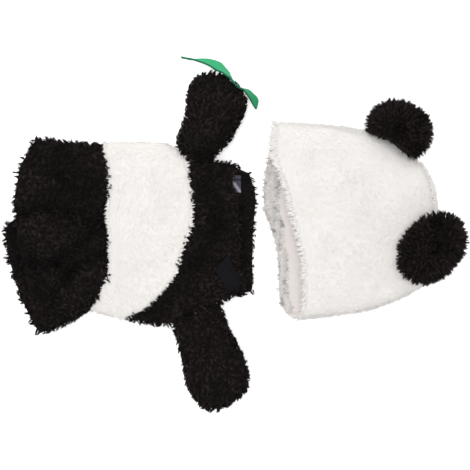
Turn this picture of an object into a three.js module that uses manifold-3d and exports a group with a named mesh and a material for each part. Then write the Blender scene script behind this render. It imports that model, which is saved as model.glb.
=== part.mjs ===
// Dog costume laid flat: a plush body garment with two short legs and two stuffed arms, and beside it
// a plush hat with two pompom ears. Millimetres. +X runs from the legs to the crown of the hat,
// +Y to the garment's right arm, and +Z up from the surface that both pieces lie on.

import * as THREE from 'three';
import { mergeVertices } from 'three/addons/utils/BufferGeometryUtils.js';
import Module from 'manifold-3d';

const wasm = await Module();
wasm.setup();

const SEAM_GAP = 0.3;
const LIE_GAP = 0.3;

// A piece that is cut to its neighbour's smooth form keeps this much clear of its facets.
const FACET_GAP = 0.7;
const PLUSH_GAP = 1.1;

// Where the facets of two pieces don't match along a curved seam, one stops this much further short.
const WAIST_EASE = 0.5;
const CHEST_EASE = 0.2;
const LEG_EASE = 0.15;

// Plush is knitted cloth with its pile, so a wall reaches as far as the pile does.
const BLACK_WALL = 6;
const WHITE_WALL = 5;

// A flattened tube's side seam lies this high, and its back presses this far into the flat.
const SIDE_HEIGHT = 12;
const PRESS = 1;

// The tables are measured from a point this far from the middle of the whole costume.
const MIDDLE = { x: -2.5, y: 0.2 };

// Table rows are read by name and joined by a smooth curve that never overshoots its points.
function curve(rows, key, value) {
  const points = [...rows].sort((a, b) => a[key] - b[key]);
  const x = points.map((row) => row[key]);
  const y = points.map((row) => row[value]);
  const steps = x.slice(1).map((next, i) => (y[i + 1] - y[i]) / (next - x[i]));
  const slopes = x.map((_, i) => {
    const before = steps[i - 1] ?? steps[i];
    const after = steps[i] ?? steps[i - 1];
    return before * after > 0 ? (2 * before * after) / (before + after) : 0;
  });
  return (at) => {
    const inside = THREE.MathUtils.clamp(at, x[0], x[x.length - 1]);
    const i = Math.max(0, x.findLastIndex((start, k) => start <= inside && k < x.length - 1));
    const width = x[i + 1] - x[i];
    const u = (inside - x[i]) / width;
    return (
      y[i] * (1 + 2 * u) * (1 - u) ** 2 +
      y[i + 1] * u * u * (3 - 2 * u) +
      slopes[i] * width * u * (1 - u) ** 2 -
      slopes[i + 1] * width * u * u * (1 - u)
    );
  };
}

// A form is a flattened tube along X: its two side lines, and how high its front lies.
function flatForm(rows, roundness) {
  return {
    low: curve(rows, 'x', 'low'),
    high: curve(rows, 'x', 'high'),
    height: curve(rows, 'x', 'height'),
    roundness,
  };
}

const BODY = flatForm(
  [
    { x: -133, low: -69.5, high: 82.5, height: 26 },
    { x: -113, low: -75, high: 83, height: 26 },
    { x: -100, low: -79, high: 83, height: 25 },
    { x: -82, low: -82.5, high: 83, height: 25 },
    { x: -67, low: -84, high: 82.5, height: 25 },
    { x: -56, low: -84, high: 79, height: 25 },
    { x: -44, low: -79, high: 70, height: 25 },
    { x: -32, low: -73, high: 68, height: 25 },
    { x: -19, low: -67, high: 67, height: 25 },
    { x: -6, low: -60, high: 65, height: 25 },
    { x: 6, low: -57, high: 60, height: 24 },
    { x: 20, low: -55, high: 54.5, height: 24 },
  ],
  4,
);

// The two legs meet along a line that runs from the notch in the hem to the waist.
const BETWEEN_LEGS = curve(
  [
    { x: -209, y: 13 },
    { x: -196, y: 15 },
    { x: -174, y: 17.3 },
    { x: -158, y: 18.2 },
    { x: -140, y: 14 },
    { x: -127, y: 11 },
    { x: -112, y: 9.7 },
  ],
  'x',
  'y',
);
const RIGHT_ROWS = [
  { x: -208, side: 89.5, height: 25 },
  { x: -172, side: 87, height: 27 },
  { x: -158, side: 85, height: 27 },
  { x: -140, side: 83, height: 27 },
  { x: -127, side: 82.6, height: 26 },
  { x: -113, side: 83, height: 26 },
];
const LEFT_ROWS = [
  { x: -209, side: -95, height: 25 },
  { x: -196, side: -94, height: 28 },
  { x: -174, side: -92, height: 29 },
  { x: -158, side: -85.4, height: 29 },
  { x: -145, side: -78.4, height: 28 },
  { x: -131, side: -70.3, height: 27 },
  { x: -112, side: -75.4, height: 26 },
];
const LEG_RIGHT = {
  low: (x) => BETWEEN_LEGS(x) + SEAM_GAP / 2 + LEG_EASE,
  high: curve(RIGHT_ROWS, 'x', 'side'),
  height: curve(RIGHT_ROWS, 'x', 'height'),
  roundness: 3,
};
const LEG_LEFT = {
  low: curve(LEFT_ROWS, 'x', 'side'),
  high: (x) => BETWEEN_LEGS(x) - SEAM_GAP / 2 - LEG_EASE,
  height: curve(LEFT_ROWS, 'x', 'height'),
  roundness: 3.5,
};

const HAT = flatForm(
  [
    { x: 17, low: -80.5, high: 100.5, height: 25 },
    { x: 33, low: -79, high: 100.5, height: 27 },
    { x: 58, low: -77.5, high: 99.5, height: 29 },
    { x: 89, low: -74, high: 97, height: 30 },
    { x: 116, low: -70, high: 92, height: 31 },
    { x: 128, low: -66.5, high: 87.5, height: 31 },
    { x: 139, low: -62.5, high: 81, height: 31 },
    { x: 149, low: -58, high: 73, height: 31 },
    { x: 159, low: -53, high: 67, height: 31 },
    { x: 166, low: -49, high: 63.5, height: 31 },
    { x: 171, low: -45.5, high: 59.5, height: 31 },
    { x: 184, low: -36, high: 50, height: 31 },
  ],
  4,
);

// Each cut edge is a line across a form, as x for each y.
const edge = (rows) => curve(rows, 'y', 'x');

const HEM_RIGHT = edge([
  { y: 87, x: -172 },
  { y: 82, x: -181 },
  { y: 71, x: -187 },
  { y: 60, x: -193 },
  { y: 50, x: -195 },
  { y: 39, x: -197 },
  { y: 26, x: -198.5 },
  { y: 19, x: -197.5 },
  { y: 16, x: -195 },
]);
const HEM_LEFT_BACK = edge([
  { y: 14, x: -197.5 },
  { y: 10, x: -203.5 },
  { y: 3, x: -208 },
  { y: -10, x: -207.5 },
  { y: -32, x: -202.5 },
  { y: -49, x: -197.5 },
  { y: -65, x: -191 },
  { y: -79, x: -184 },
  { y: -88, x: -178 },
  { y: -92, x: -173.5 },
]);
const HEM_LEFT_FRONT = edge([
  { y: 14, x: -197 },
  { y: 8, x: -197 },
  { y: -6, x: -193 },
  { y: -20, x: -188 },
  { y: -36, x: -184.5 },
  { y: -52, x: -182 },
  { y: -66, x: -180 },
  { y: -80, x: -178 },
  { y: -92, x: -173.5 },
]);
const WAIST = edge([
  { y: 83, x: -120 },
  { y: 63, x: -116 },
  { y: 43, x: -113.5 },
  { y: 16, x: -116 },
  { y: -4, x: -113.5 },
  { y: -32, x: -113.7 },
  { y: -47, x: -118.7 },
  { y: -63, x: -127 },
  { y: -70, x: -132.5 },
]);
const CHEST_SEAM = edge([
  { y: 70, x: -45 },
  { y: 50, x: -42.5 },
  { y: 32, x: -39.5 },
  { y: 10, x: -39 },
  { y: -4, x: -44 },
  { y: -18, x: -48.5 },
  { y: -33, x: -52 },
  { y: -47, x: -62 },
  { y: -62, x: -76 },
  { y: -69, x: -85.5 },
  { y: -76, x: -102 },
  { y: -78, x: -106 },
]);
const NECK_BACK = edge([
  { y: 57, x: 11 },
  { y: 47, x: 14.5 },
  { y: 31, x: 18 },
  { y: 17, x: 17 },
  { y: -4, x: 15.5 },
  { y: -28, x: 15 },
  { y: -42, x: 15.5 },
  { y: -51, x: 14.5 },
  { y: -56, x: 10 },
]);
const NECK_FRONT = edge([
  { y: 61, x: 2 },
  { y: 55, x: -2.5 },
  { y: 39, x: -2.5 },
  { y: 34, x: 2.5 },
  { y: -22, x: 3.5 },
  { y: -46, x: 6.5 },
  { y: -54, x: 6 },
]);
const MOUTH_BACK = edge([
  { y: 100, x: 35 },
  { y: 91, x: 31.5 },
  { y: 75, x: 30.5 },
  { y: 60, x: 27.5 },
  { y: 35, x: 25 },
  { y: 18, x: 26 },
  { y: 10, x: 29.5 },
  { y: -6, x: 35 },
  { y: -22, x: 38 },
  { y: -54, x: 39 },
  { y: -69, x: 43 },
  { y: -78, x: 54 },
]);
const MOUTH_FRONT = edge([
  { y: 100, x: 35.5 },
  { y: 91, x: 34 },
  { y: 75, x: 32.5 },
  { y: 62, x: 36 },
  { y: 48, x: 41.5 },
  { y: 30, x: 47.2 },
  { y: 17, x: 50.3 },
  { y: -7, x: 56 },
  { y: -28, x: 60.5 },
  { y: -59, x: 61 },
  { y: -78, x: 56 },
]);
const CROWN = edge([
  { y: 60, x: 170.5 },
  { y: 53.5, x: 174 },
  { y: 46, x: 177.5 },
  { y: 39, x: 180 },
  { y: 25, x: 182 },
  { y: 10, x: 183 },
  { y: -5, x: 183 },
  { y: -18, x: 181.5 },
  { y: -30, x: 178.5 },
  { y: -40, x: 174 },
  { y: -46, x: 169.5 },
]);

// Soft folds are troughs pressed into the front from one point to another.
const FOLDS = [
  { x1: -181, y1: 74, x2: -150, y2: 44, width: 8, depth: 3.5 },
  { x1: -158, y1: 50, x2: -126, y2: 32, width: 7, depth: 3 },
  { x1: -198, y1: -26, x2: -160, y2: -28, width: 7, depth: 4 },
  { x1: -160, y1: -28, x2: -126, y2: 2, width: 6, depth: 4.5 },
  { x1: -160, y1: -56, x2: -146, y2: -34, width: 6, depth: 5 },
  { x1: -146, y1: -34, x2: -118, y2: -18, width: 6, depth: 4 },
  { x1: -64, y1: 10, x2: -52, y2: 34, width: 9, depth: 2 },
  { x1: -90, y1: -34, x2: -62, y2: -24, width: 9, depth: 2.5 },
  { x1: -30, y1: 40, x2: -10, y2: -30, width: 10, depth: 2 },
  { x1: 112, y1: 44, x2: 138, y2: -8, width: 15, depth: 4.5 },
  { x1: 92, y1: -22, x2: 128, y2: -44, width: 12, depth: 3 },
  { x1: 70, y1: 62, x2: 100, y2: 70, width: 12, depth: 2.5 },
];

function foldDepth(x, y) {
  let depth = 0;
  for (const fold of FOLDS) {
    const dx = fold.x2 - fold.x1;
    const dy = fold.y2 - fold.y1;
    const along = THREE.MathUtils.clamp(
      ((x - fold.x1) * dx + (y - fold.y1) * dy) / (dx * dx + dy * dy), 0, 1);
    const away = Math.hypot(x - fold.x1 - along * dx, y - fold.y1 - along * dy);
    depth += fold.depth * Math.exp(-((away / fold.width) ** 2));
  }
  return depth;
}

// y where t runs from -1 on the low side line to 1 on the high one, inset from both.
function across(form, x, t, inset = 0) {
  const low = form.low(x);
  const high = form.high(x);
  return (low + high) / 2 + t * ((high - low) / 2 - inset);
}

// x where the line of constant t meets an edge, found by going back and forth between the two.
const CROSSING_PASSES = 30;
function crossing(form, line, t, inset) {
  let x = line(across(form, 0, t, inset));
  for (let pass = 0; pass < CROSSING_PASSES; pass += 1) {
    x = line(across(form, x, t, inset));
  }
  return x;
}

// How much further along X a gap reaches where an edge slants, so that it stays as wide.
function slant(line, y) {
  const half = 0.5;
  return Math.hypot(1, line(y + half) - line(y - half));
}

const bulge = (form, t) => Math.sqrt(Math.max(0, 1 - Math.abs(t) ** form.roundness));

// The crown of the hat rounds down to its seam over the last part of its length.
const CROWN_POWER = 7;
const closing = (closed, s) => (closed ? Math.sqrt(Math.max(0, 1 - s ** CROWN_POWER)) : 1);

// The front of a form at any place, and the back seen from inside it, for what lies on them.
function frontHeight(form, x, y) {
  const t = (y - across(form, x, 0)) / (across(form, x, 1) - across(form, x, 0));
  return SIDE_HEIGHT + (form.height(x) - SIDE_HEIGHT - foldDepth(x, y)) * bulge(form, t);
}
function backHeight(form, x, y, inset) {
  const t = (y - across(form, x, 0)) / (across(form, x, 1, inset) - across(form, x, 0));
  return Math.max(inset, SIDE_HEIGHT - (SIDE_HEIGHT + PRESS - inset) * bulge(form, t));
}

// One point of a piece: s runs from its first edge to its second and t across. The inset is the
// wall's thickness on the inner surface and 0 on the outer one. A piece that is split at its side
// seams stops short of them by half the gap.
function point(piece, s, t, side, inset) {
  const { form } = piece;
  const [start, end] = side === 'front' ? piece.front : piece.back;
  const from = crossing(form, start, t, inset);
  const to = crossing(form, end, t, inset);
  const short = SEAM_GAP / 2 + (piece.ease ?? 0);
  const first = from + (SEAM_GAP / 2) * slant(start, across(form, from, t, inset));
  const last = to - short * slant(end, across(form, to, t, inset)) - (piece.closed ? inset : 0);
  const x = first + s * (last - first);
  const y = across(form, x, t, inset);
  const swell = bulge(form, t) * closing(piece.closed, s);
  const gap = piece.split ? SEAM_GAP / 2 : 0;
  if (side === 'back') {
    const seam = SIDE_HEIGHT - gap;
    return [x, y, Math.max(inset, seam - (seam + PRESS - inset) * swell)];
  }
  const seam = SIDE_HEIGHT + gap;
  const pressed = foldDepth(x, across(form, x, t));
  return [x, y, seam + (form.height(x) - seam - inset - pressed) * swell];
}

const spread = (count) => Array.from({ length: count + 1 }, (_, i) => i / count);

// A wall is closed between an outer and an inner grid of points, as a sheet or as a ring.
function wall(outer, inner, ring) {
  const rows = outer.length;
  const columns = outer[0].length;
  const points = [...outer.flat(), ...inner.flat()];
  const at = (layer, i, j) => layer * rows * columns + i * columns + (j % columns);
  const faces = [];
  const quad = (a, b, c, d) => faces.push(a, b, c, a, c, d);
  const lastColumn = ring ? columns : columns - 1;
  for (let i = 0; i + 1 < rows; i += 1) {
    for (let j = 0; j < lastColumn; j += 1) {
      quad(at(0, i, j), at(0, i + 1, j), at(0, i + 1, j + 1), at(0, i, j + 1));
      quad(at(1, i, j), at(1, i, j + 1), at(1, i + 1, j + 1), at(1, i + 1, j));
    }
  }
  for (let j = 0; j < lastColumn; j += 1) {
    quad(at(0, 0, j), at(0, 0, j + 1), at(1, 0, j + 1), at(1, 0, j));
    quad(at(0, rows - 1, j), at(1, rows - 1, j), at(1, rows - 1, j + 1), at(0, rows - 1, j + 1));
  }
  if (!ring) {
    for (let i = 0; i + 1 < rows; i += 1) {
      quad(at(0, i, 0), at(1, i, 0), at(1, i + 1, 0), at(0, i + 1, 0));
      const j = columns - 1;
      quad(at(0, i, j), at(0, i + 1, j), at(1, i + 1, j), at(1, i, j));
    }
  }
  return solid(points, faces);
}

// A filled form is closed over a stack of rings, with a fan over each end.
function filled(rings) {
  const columns = rings[0].length;
  const centre = (ring) => [0, 1, 2].map((k) => ring.reduce((sum, p) => sum + p[k], 0) / columns);
  const points = [...rings.flat(), centre(rings[0]), centre(rings[rings.length - 1])];
  const firstCentre = points.length - 2;
  const lastCentre = points.length - 1;
  const faces = [];
  for (let j = 0; j < columns; j += 1) {
    const next = (j + 1) % columns;
    for (let i = 0; i + 1 < rings.length; i += 1) {
      const a = i * columns + j;
      const b = i * columns + next;
      faces.push(a, b, b + columns, a, b + columns, a + columns);
    }
    const top = (rings.length - 1) * columns;
    faces.push(firstCentre, next, j, lastCentre, top + j, top + next);
  }
  return solid(points, faces);
}

// Faces are turned outwards if the signed volume that they enclose is negative.
function solid(points, faces) {
  const triangles = [];
  let volume = 0;
  for (let k = 0; k < faces.length; k += 3) {
    const [a, b, c] = faces.slice(k, k + 3);
    const [p, q, r] = [a, b, c].map((index) => new THREE.Vector3(...points[index]));
    volume += p.dot(q.cross(r));
    triangles.push([a, b, c]);
  }
  const facing = volume < 0 ? triangles.map(([a, b, c]) => [a, c, b]) : triangles;
  const geometry = new THREE.BufferGeometry();
  geometry.setAttribute('position', new THREE.Float32BufferAttribute(points.flat(), 3));
  geometry.setIndex(facing.flat());
  return geometry;
}

function toManifold(geometry) {
  const bare = geometry.clone();
  bare.deleteAttribute('normal');
  bare.deleteAttribute('uv');
  const merged = mergeVertices(bare);
  return new wasm.Manifold(new wasm.Mesh({
    numProp: 3,
    vertProperties: new Float32Array(merged.attributes.position.array),
    triVerts: new Uint32Array(merged.index.array),
  }));
}

function fromManifold(body) {
  const mesh = body.getMesh();
  const geometry = new THREE.BufferGeometry();
  geometry.setAttribute('position', new THREE.Float32BufferAttribute(mesh.vertProperties, 3));
  geometry.setIndex(Array.from(mesh.triVerts));
  return geometry;
}

// Columns lie closer together at the side seams, where a section is round.
function panel(piece, side, rows, columns) {
  const layer = (inset) =>
    spread(rows).map((s) =>
      spread(columns).map((k) => point(piece, s, -Math.cos(Math.PI * k), side, inset)));
  return wall(layer(0), layer(piece.wall), false);
}

function tube(piece, rows, columns) {
  const layer = (inset) =>
    spread(rows).map((s) => Array.from({ length: columns }, (_, k) => {
      const turn = (2 * Math.PI * k) / columns;
      return point(piece, s, Math.cos(turn), Math.sin(turn) >= 0 ? 'front' : 'back', inset);
    }));
  return wall(layer(0), layer(piece.wall), true);
}

// The whole space that a form takes up, grown by a gap, which its neighbours are cut to.
const ENVELOPE_ROWS = 24;
const ENVELOPE_COLUMNS = 64;
function envelope(form, start, end, gap, closed) {
  const piece = { form, front: [start, end], back: [start, end], closed };
  const rings = spread(ENVELOPE_ROWS).map((s) => Array.from({ length: ENVELOPE_COLUMNS }, (_, k) => {
    const turn = (2 * Math.PI * k) / ENVELOPE_COLUMNS;
    return point(piece, s, Math.cos(turn), Math.sin(turn) >= 0 ? 'front' : 'back', -gap);
  }));
  return toManifold(filled(rings));
}

const LEG_RIGHT_PIECE = {
  form: LEG_RIGHT,
  wall: BLACK_WALL,
  front: [HEM_RIGHT, WAIST],
  back: [HEM_RIGHT, WAIST],
  ease: WAIST_EASE,
};
const LEG_LEFT_PIECE = {
  form: LEG_LEFT,
  wall: BLACK_WALL,
  front: [HEM_LEFT_FRONT, WAIST],
  back: [HEM_LEFT_BACK, WAIST],
  ease: WAIST_EASE,
};
const BELLY = {
  form: BODY,
  wall: WHITE_WALL,
  front: [WAIST, CHEST_SEAM],
  back: [WAIST, CHEST_SEAM],
  ease: CHEST_EASE,
  split: true,
};
const CHEST = {
  form: BODY,
  wall: BLACK_WALL,
  front: [CHEST_SEAM, NECK_FRONT],
  back: [CHEST_SEAM, NECK_BACK],
  split: true,
};
const CAP = {
  form: HAT,
  wall: WHITE_WALL,
  front: [MOUTH_FRONT, CROWN],
  back: [MOUTH_BACK, CROWN],
  split: true,
  closed: true,
};

// Each arm is a stuffed pouch, given by its sides and its underside and top at each y.
const ARM_RIGHT_ROWS = [
  { y: 57, left: -41.5, right: -23.5, low: 0, high: 17 },
  { y: 68, left: -46.5, right: -20, low: 0, high: 22 },
  { y: 75, left: -52, right: -13.5, low: 0, high: 27 },
  { y: 82.5, left: -54, right: -5.5, low: 0, high: 32 },
  { y: 89.5, left: -51.5, right: -1, low: 0, high: 34 },
  { y: 97, left: -49, right: 3, low: 0, high: 36 },
  { y: 104, left: -47, right: 6.5, low: 0, high: 37 },
  { y: 111, left: -45.5, right: 9.5, low: 0, high: 37 },
  { y: 118.5, left: -45, right: 10.5, low: 0, high: 36 },
  { y: 125.5, left: -44, right: 8, low: 0, high: 35 },
  { y: 133, left: -41, right: 1.5, low: 1, high: 32 },
  { y: 138, left: -37, right: -5, low: 3.5, high: 29 },
  { y: 141.5, left: -32, right: -11, low: 7, high: 25 },
  { y: 143.5, left: -26, right: -17.5, low: 12, high: 20 },
];
const ARM_LEFT_ROWS = [
  { y: -66, left: -41.5, right: -13, low: 0, high: 17 },
  { y: -78, left: -52, right: -8.5, low: 0, high: 24 },
  { y: -85, left: -57, right: -5.5, low: 0, high: 29 },
  { y: -92, left: -55, right: -2, low: 0, high: 31 },
  { y: -99.5, left: -53, right: 2, low: 0, high: 33 },
  { y: -106.5, left: -51, right: 5.5, low: 0, high: 35 },
  { y: -114, left: -49, right: 8.5, low: 0, high: 36 },
  { y: -121, left: -48, right: 11, low: 0, high: 37 },
  { y: -128, left: -46.5, right: 12, low: 0, high: 37 },
  { y: -135.5, left: -45, right: 11.5, low: 0, high: 36 },
  { y: -142.5, left: -41.5, right: 8, low: 0.5, high: 34 },
  { y: -148, left: -37.5, right: 1, low: 1.5, high: 31 },
  { y: -153.5, left: -32.5, right: -8, low: 4.5, high: 27.5 },
  { y: -157, left: -27.5, right: -15, low: 8, high: 24 },
  { y: -158.5, left: -23, right: -18, low: 12, high: 20 },
];
const ARM_POWER = 0.8;

const ARM_COLUMNS = 18;
function arm(rows) {
  const body = envelope(BODY, WAIST, NECK_BACK, FACET_GAP, false);
  const rings = rows.map(({ y, left, right, low, high }) =>
    Array.from({ length: ARM_COLUMNS }, (_, k) => {
      const turn = (2 * Math.PI * k) / ARM_COLUMNS;
      const round = (value) => Math.sign(value) * Math.abs(value) ** ARM_POWER;
      const x = (left + right) / 2 + ((right - left) / 2) * round(Math.cos(turn));
      const z = (low + high) / 2 + ((high - low) / 2 + PRESS) * round(Math.sin(turn));
      return [x, y, THREE.MathUtils.clamp(z, low, high)];
    }));
  return toManifold(filled(rings)).subtract(body);
}

// The leaf is one felt strip with two pointed ends. It stands on its lower edge, and its lean from
// the vertical, in degrees, opens towards both ends.
const LEAF_ROWS = [
  { x: -49.2, y: 158, z: 19, width: 1.2, lean: 5 },
  { x: -41.4, y: 156.6, z: 18.5, width: 5.5, lean: 6 },
  { x: -31.2, y: 154.8, z: 18, width: 9.5, lean: 19 },
  { x: -22.5, y: 152.7, z: 18, width: 13, lean: 33 },
  { x: -15.3, y: 149.6, z: 18, width: 14.8, lean: 33 },
  { x: -10.9, y: 145.9, z: 18, width: 15, lean: 23 },
  { x: -6.9, y: 141.5, z: 18, width: 15, lean: 12 },
  { x: -2.5, y: 136.5, z: 18, width: 15, lean: 6 },
  { x: 3.6, y: 130.6, z: 18, width: 14, lean: 5 },
  { x: 8.6, y: 128, z: 17, width: 12, lean: 14 },
  { x: 13, y: 124.4, z: 16, width: 10.5, lean: 30 },
  { x: 16.8, y: 119.5, z: 15, width: 8.5, lean: 46 },
  { x: 17.8, y: 111.8, z: 13.5, width: 1.2, lean: 44 },
];
const LEAF_THICKNESS = 1.6;
const LEAF_STEPS = 24;

function leaf(grow) {
  const spine = LEAF_ROWS.map(({ x, y, z }) => new THREE.Vector3(x, y, z));
  const route = new THREE.CatmullRomCurve3(spine);
  const stations = spread(LEAF_ROWS.length - 1);
  const rows = LEAF_ROWS.map((row, i) => ({ ...row, at: stations[i] }));
  const width = curve(rows, 'at', 'width');
  const lean = curve(rows, 'at', 'lean');
  const layer = (sign) => spread(LEAF_STEPS).map((at) => {
    const along = route.getTangent(at).setZ(0).normalize();
    const inward = new THREE.Vector3(along.y, -along.x, 0);
    const tilt = THREE.MathUtils.degToRad(lean(at));
    const up = inward.clone().multiplyScalar(Math.sin(tilt)).setZ(Math.cos(tilt));
    const face = new THREE.Vector3().crossVectors(along, up);
    const centre = route.getPoint(at);
    return [-1, 0, 1].map((side) => centre.clone()
      .addScaledVector(up, (side * (width(at) + 2 * grow)) / 2)
      .addScaledVector(face, sign * (LEAF_THICKNESS / 2 + grow))
      .toArray());
  });
  return wall(layer(1), layer(-1), false);
}

// A patch of tape lies on a surface, between four corners in plan.
const LOOP_TAPE = {
  corners: [[-8, -19], [6, -45], [-6, -53], [-19, -33]],
  thickness: 1.4,
  gap: 0.9,
};
const HOOK_TAPE = {
  corners: [[-7, 37], [4.5, 37], [4.5, 52.5], [-7, 52.5]],
  thickness: 1.6,
  gap: 0.6,
};
const FACING = {
  corners: [[5, 37], [12, 37.5], [9, 52], [5, 52.5]],
  thickness: 1.4,
  gap: 0.6,
};

function patch({ corners, thickness, gap }, height, rows, columns) {
  const [a, b, c, d] = corners.map(([x, y]) => new THREE.Vector2(x, y));
  const layer = (rise) => spread(rows).map((u) => spread(columns).map((v) => {
    const one = a.clone().lerp(b, v);
    const place = one.lerp(d.clone().lerp(c, v), u);
    return [place.x, place.y, height(place.x, place.y) + gap + rise];
  }));
  return wall(layer(thickness), layer(0), false);
}

// Each ear is a pompom: a soft core with locks of yarn that stand out from it all round. Its size
// is given to the tips of the locks, and its long axis is turned in plan.
const EAR_RIGHT = { centre: [145.7, 92, 25], size: [33, 28, 23], turn: -24 };
const EAR_LEFT = { centre: [172.8, -13, 45], size: [39.5, 28, 24], turn: 49 };
const CORE_SHARE = 0.8;
const CORE_COLUMNS = 16;
const CORE_ROWS = 10;
const LOCK_ROOT_SHARE = 0.72;
const LOCK_WIDTH = 4.6;
const LOCKS = 96;
const FLOOR_CLEARANCE = 1;
const GOLDEN_ANGLE = Math.PI * (3 - Math.sqrt(5));

function ear({ centre, size, turn }, hat, isHidden) {
  const place = new THREE.Matrix4()
    .makeTranslation(...centre)
    .multiply(new THREE.Matrix4().makeRotationZ(THREE.MathUtils.degToRad(turn)))
    .multiply(new THREE.Matrix4().makeScale(...size));
  const core = new THREE.SphereGeometry(CORE_SHARE, CORE_COLUMNS, CORE_ROWS).applyMatrix4(place);
  let pompom = toManifold(core);
  for (let k = 0; k < LOCKS; k += 1) {
    const z = 1 - (2 * (k + 0.5)) / LOCKS;
    const ring = Math.sqrt(1 - z * z);
    const angle = k * GOLDEN_ANGLE;
    const outward = new THREE.Vector3(ring * Math.cos(angle), ring * Math.sin(angle), z);
    const tip = outward.clone().applyMatrix4(place);
    const root = outward.clone().multiplyScalar(LOCK_ROOT_SHARE).applyMatrix4(place);
    if (tip.z < FLOOR_CLEARANCE || isHidden(tip)) {
      continue;
    }
    const aim = tip.clone().sub(root);
    const lock = new THREE.ConeGeometry(LOCK_WIDTH, aim.length(), 3)
      .translate(0, aim.length() / 2, 0)
      .applyQuaternion(new THREE.Quaternion().setFromUnitVectors(
        new THREE.Vector3(0, 1, 0), aim.clone().normalize()))
      .translate(...root.toArray());
    pompom = pompom.add(toManifold(lock));
  }
  const bodies = pompom.subtract(hat).decompose();
  return bodies.reduce((most, body) => (body.volume() > most.volume() ? body : most));
}

// The right ear lies beside the hat, under its edge, so it is cut upright along the hat's side line.
const BESIDE_HAT = { first: 60, last: 170, top: 90, steps: 20 };
function besideHat() {
  const { first, last, top, steps } = BESIDE_HAT;
  const side = new THREE.Shape();
  side.moveTo(first, 0);
  for (const k of spread(steps)) {
    const x = first + k * (last - first);
    side.lineTo(x, HAT.high(x) + FACET_GAP);
  }
  side.lineTo(last, 0);
  const block = new THREE.ExtrudeGeometry(side, { depth: top, bevelEnabled: false });
  return toManifold(block.translate(0, 0, -PRESS));
}

const COLOURS = {
  black: new THREE.Color().setRGB(0.085, 0.07, 0.068, THREE.SRGBColorSpace),
  white: new THREE.Color().setRGB(0.96, 0.945, 0.925, THREE.SRGBColorSpace),
  green: new THREE.Color().setRGB(0.29, 0.75, 0.56, THREE.SRGBColorSpace),
  navy: new THREE.Color().setRGB(0.11, 0.105, 0.12, THREE.SRGBColorSpace),
  lilac: new THREE.Color().setRGB(0.42, 0.41, 0.46, THREE.SRGBColorSpace),
};

const costume = new THREE.Group();

function add(name, geometry, colour, roughness) {
  const shape = geometry.isBufferGeometry ? geometry : fromManifold(geometry);
  const material = new THREE.MeshStandardMaterial({ color: COLOURS[colour], roughness, metalness: 0 });
  const mesh = new THREE.Mesh(shape, material);
  mesh.name = name;
  costume.add(mesh);
}

const PLUSH_ROUGHNESS = 0.95;
const TAPE_ROUGHNESS = 0.7;
const FELT_ROUGHNESS = 0.85;

// Each piece's two counts are its rows and columns of points.
add('leg_right', tube(LEG_RIGHT_PIECE, 8, 24), 'black', PLUSH_ROUGHNESS);
add('leg_left', tube(LEG_LEFT_PIECE, 9, 28), 'black', PLUSH_ROUGHNESS);
add('belly_front', panel(BELLY, 'front', 7, 20), 'white', PLUSH_ROUGHNESS);
add('belly_back', panel(BELLY, 'back', 3, 20), 'white', PLUSH_ROUGHNESS);
add('chest_front', panel(CHEST, 'front', 7, 20), 'black', PLUSH_ROUGHNESS);
add('chest_back', panel(CHEST, 'back', 6, 20), 'black', PLUSH_ROUGHNESS);

const leafCut = toManifold(leaf(LIE_GAP));
add('arm_right', arm(ARM_RIGHT_ROWS).subtract(leafCut), 'black', PLUSH_ROUGHNESS);
add('arm_left', arm(ARM_LEFT_ROWS), 'black', PLUSH_ROUGHNESS);
add('leaf', leaf(0), 'green', FELT_ROUGHNESS);

const chestFront = (x, y) => frontHeight(BODY, x, y);
const chestInside = (x, y) => backHeight(BODY, x, y, BLACK_WALL);
add('loop_tape', patch(LOOP_TAPE, chestFront, 7, 9), 'navy', TAPE_ROUGHNESS);
add('hook_tape', patch(HOOK_TAPE, chestInside, 5, 5), 'lilac', TAPE_ROUGHNESS);
add('neck_facing', patch(FACING, chestInside, 4, 5), 'navy', TAPE_ROUGHNESS);

add('hat_front', panel(CAP, 'front', 13, 20), 'white', PLUSH_ROUGHNESS);
add('hat_back', panel(CAP, 'back', 8, 16), 'white', PLUSH_ROUGHNESS);

const hatSpace = envelope(HAT, MOUTH_BACK, CROWN, PLUSH_GAP, true);
const HAT_EDGE = besideHat();
const CROWN_END = 183;
const underHat = (tip) => tip.x < BESIDE_HAT.last && tip.y < HAT.high(tip.x) + FACET_GAP;
const inHat = (tip) => tip.x < CROWN_END && tip.z < frontHeight(HAT, tip.x, tip.y);
add('ear_right', ear(EAR_RIGHT, HAT_EDGE, underHat), 'black', PLUSH_ROUGHNESS);
add('ear_left', ear(EAR_LEFT, hatSpace, inHat), 'black', PLUSH_ROUGHNESS);

costume.position.set(-MIDDLE.x, -MIDDLE.y, 0);

export default costume;
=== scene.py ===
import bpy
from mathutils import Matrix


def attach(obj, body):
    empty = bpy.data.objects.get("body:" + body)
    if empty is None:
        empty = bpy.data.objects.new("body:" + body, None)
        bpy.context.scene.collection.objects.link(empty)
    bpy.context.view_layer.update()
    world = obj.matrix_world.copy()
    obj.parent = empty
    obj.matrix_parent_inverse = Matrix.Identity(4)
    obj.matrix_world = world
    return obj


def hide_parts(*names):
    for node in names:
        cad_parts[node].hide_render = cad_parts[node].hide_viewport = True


bl_info = {
    "name": "Plush Dog Costume",
    "version": (1, 0, 0),
    "blender": (4, 5, 0),
    "location": "3D View > Sidebar > Costume",
    "description": "Dresses a plush dog costume, laid flat, with cloth, pile, pompoms, felt and tape",
    "category": "Add Mesh",
}

import bpy
import numpy as np
from bpy.props import FloatProperty, FloatVectorProperty, PointerProperty
from bpy.types import Operator, Panel, PropertyGroup

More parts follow.
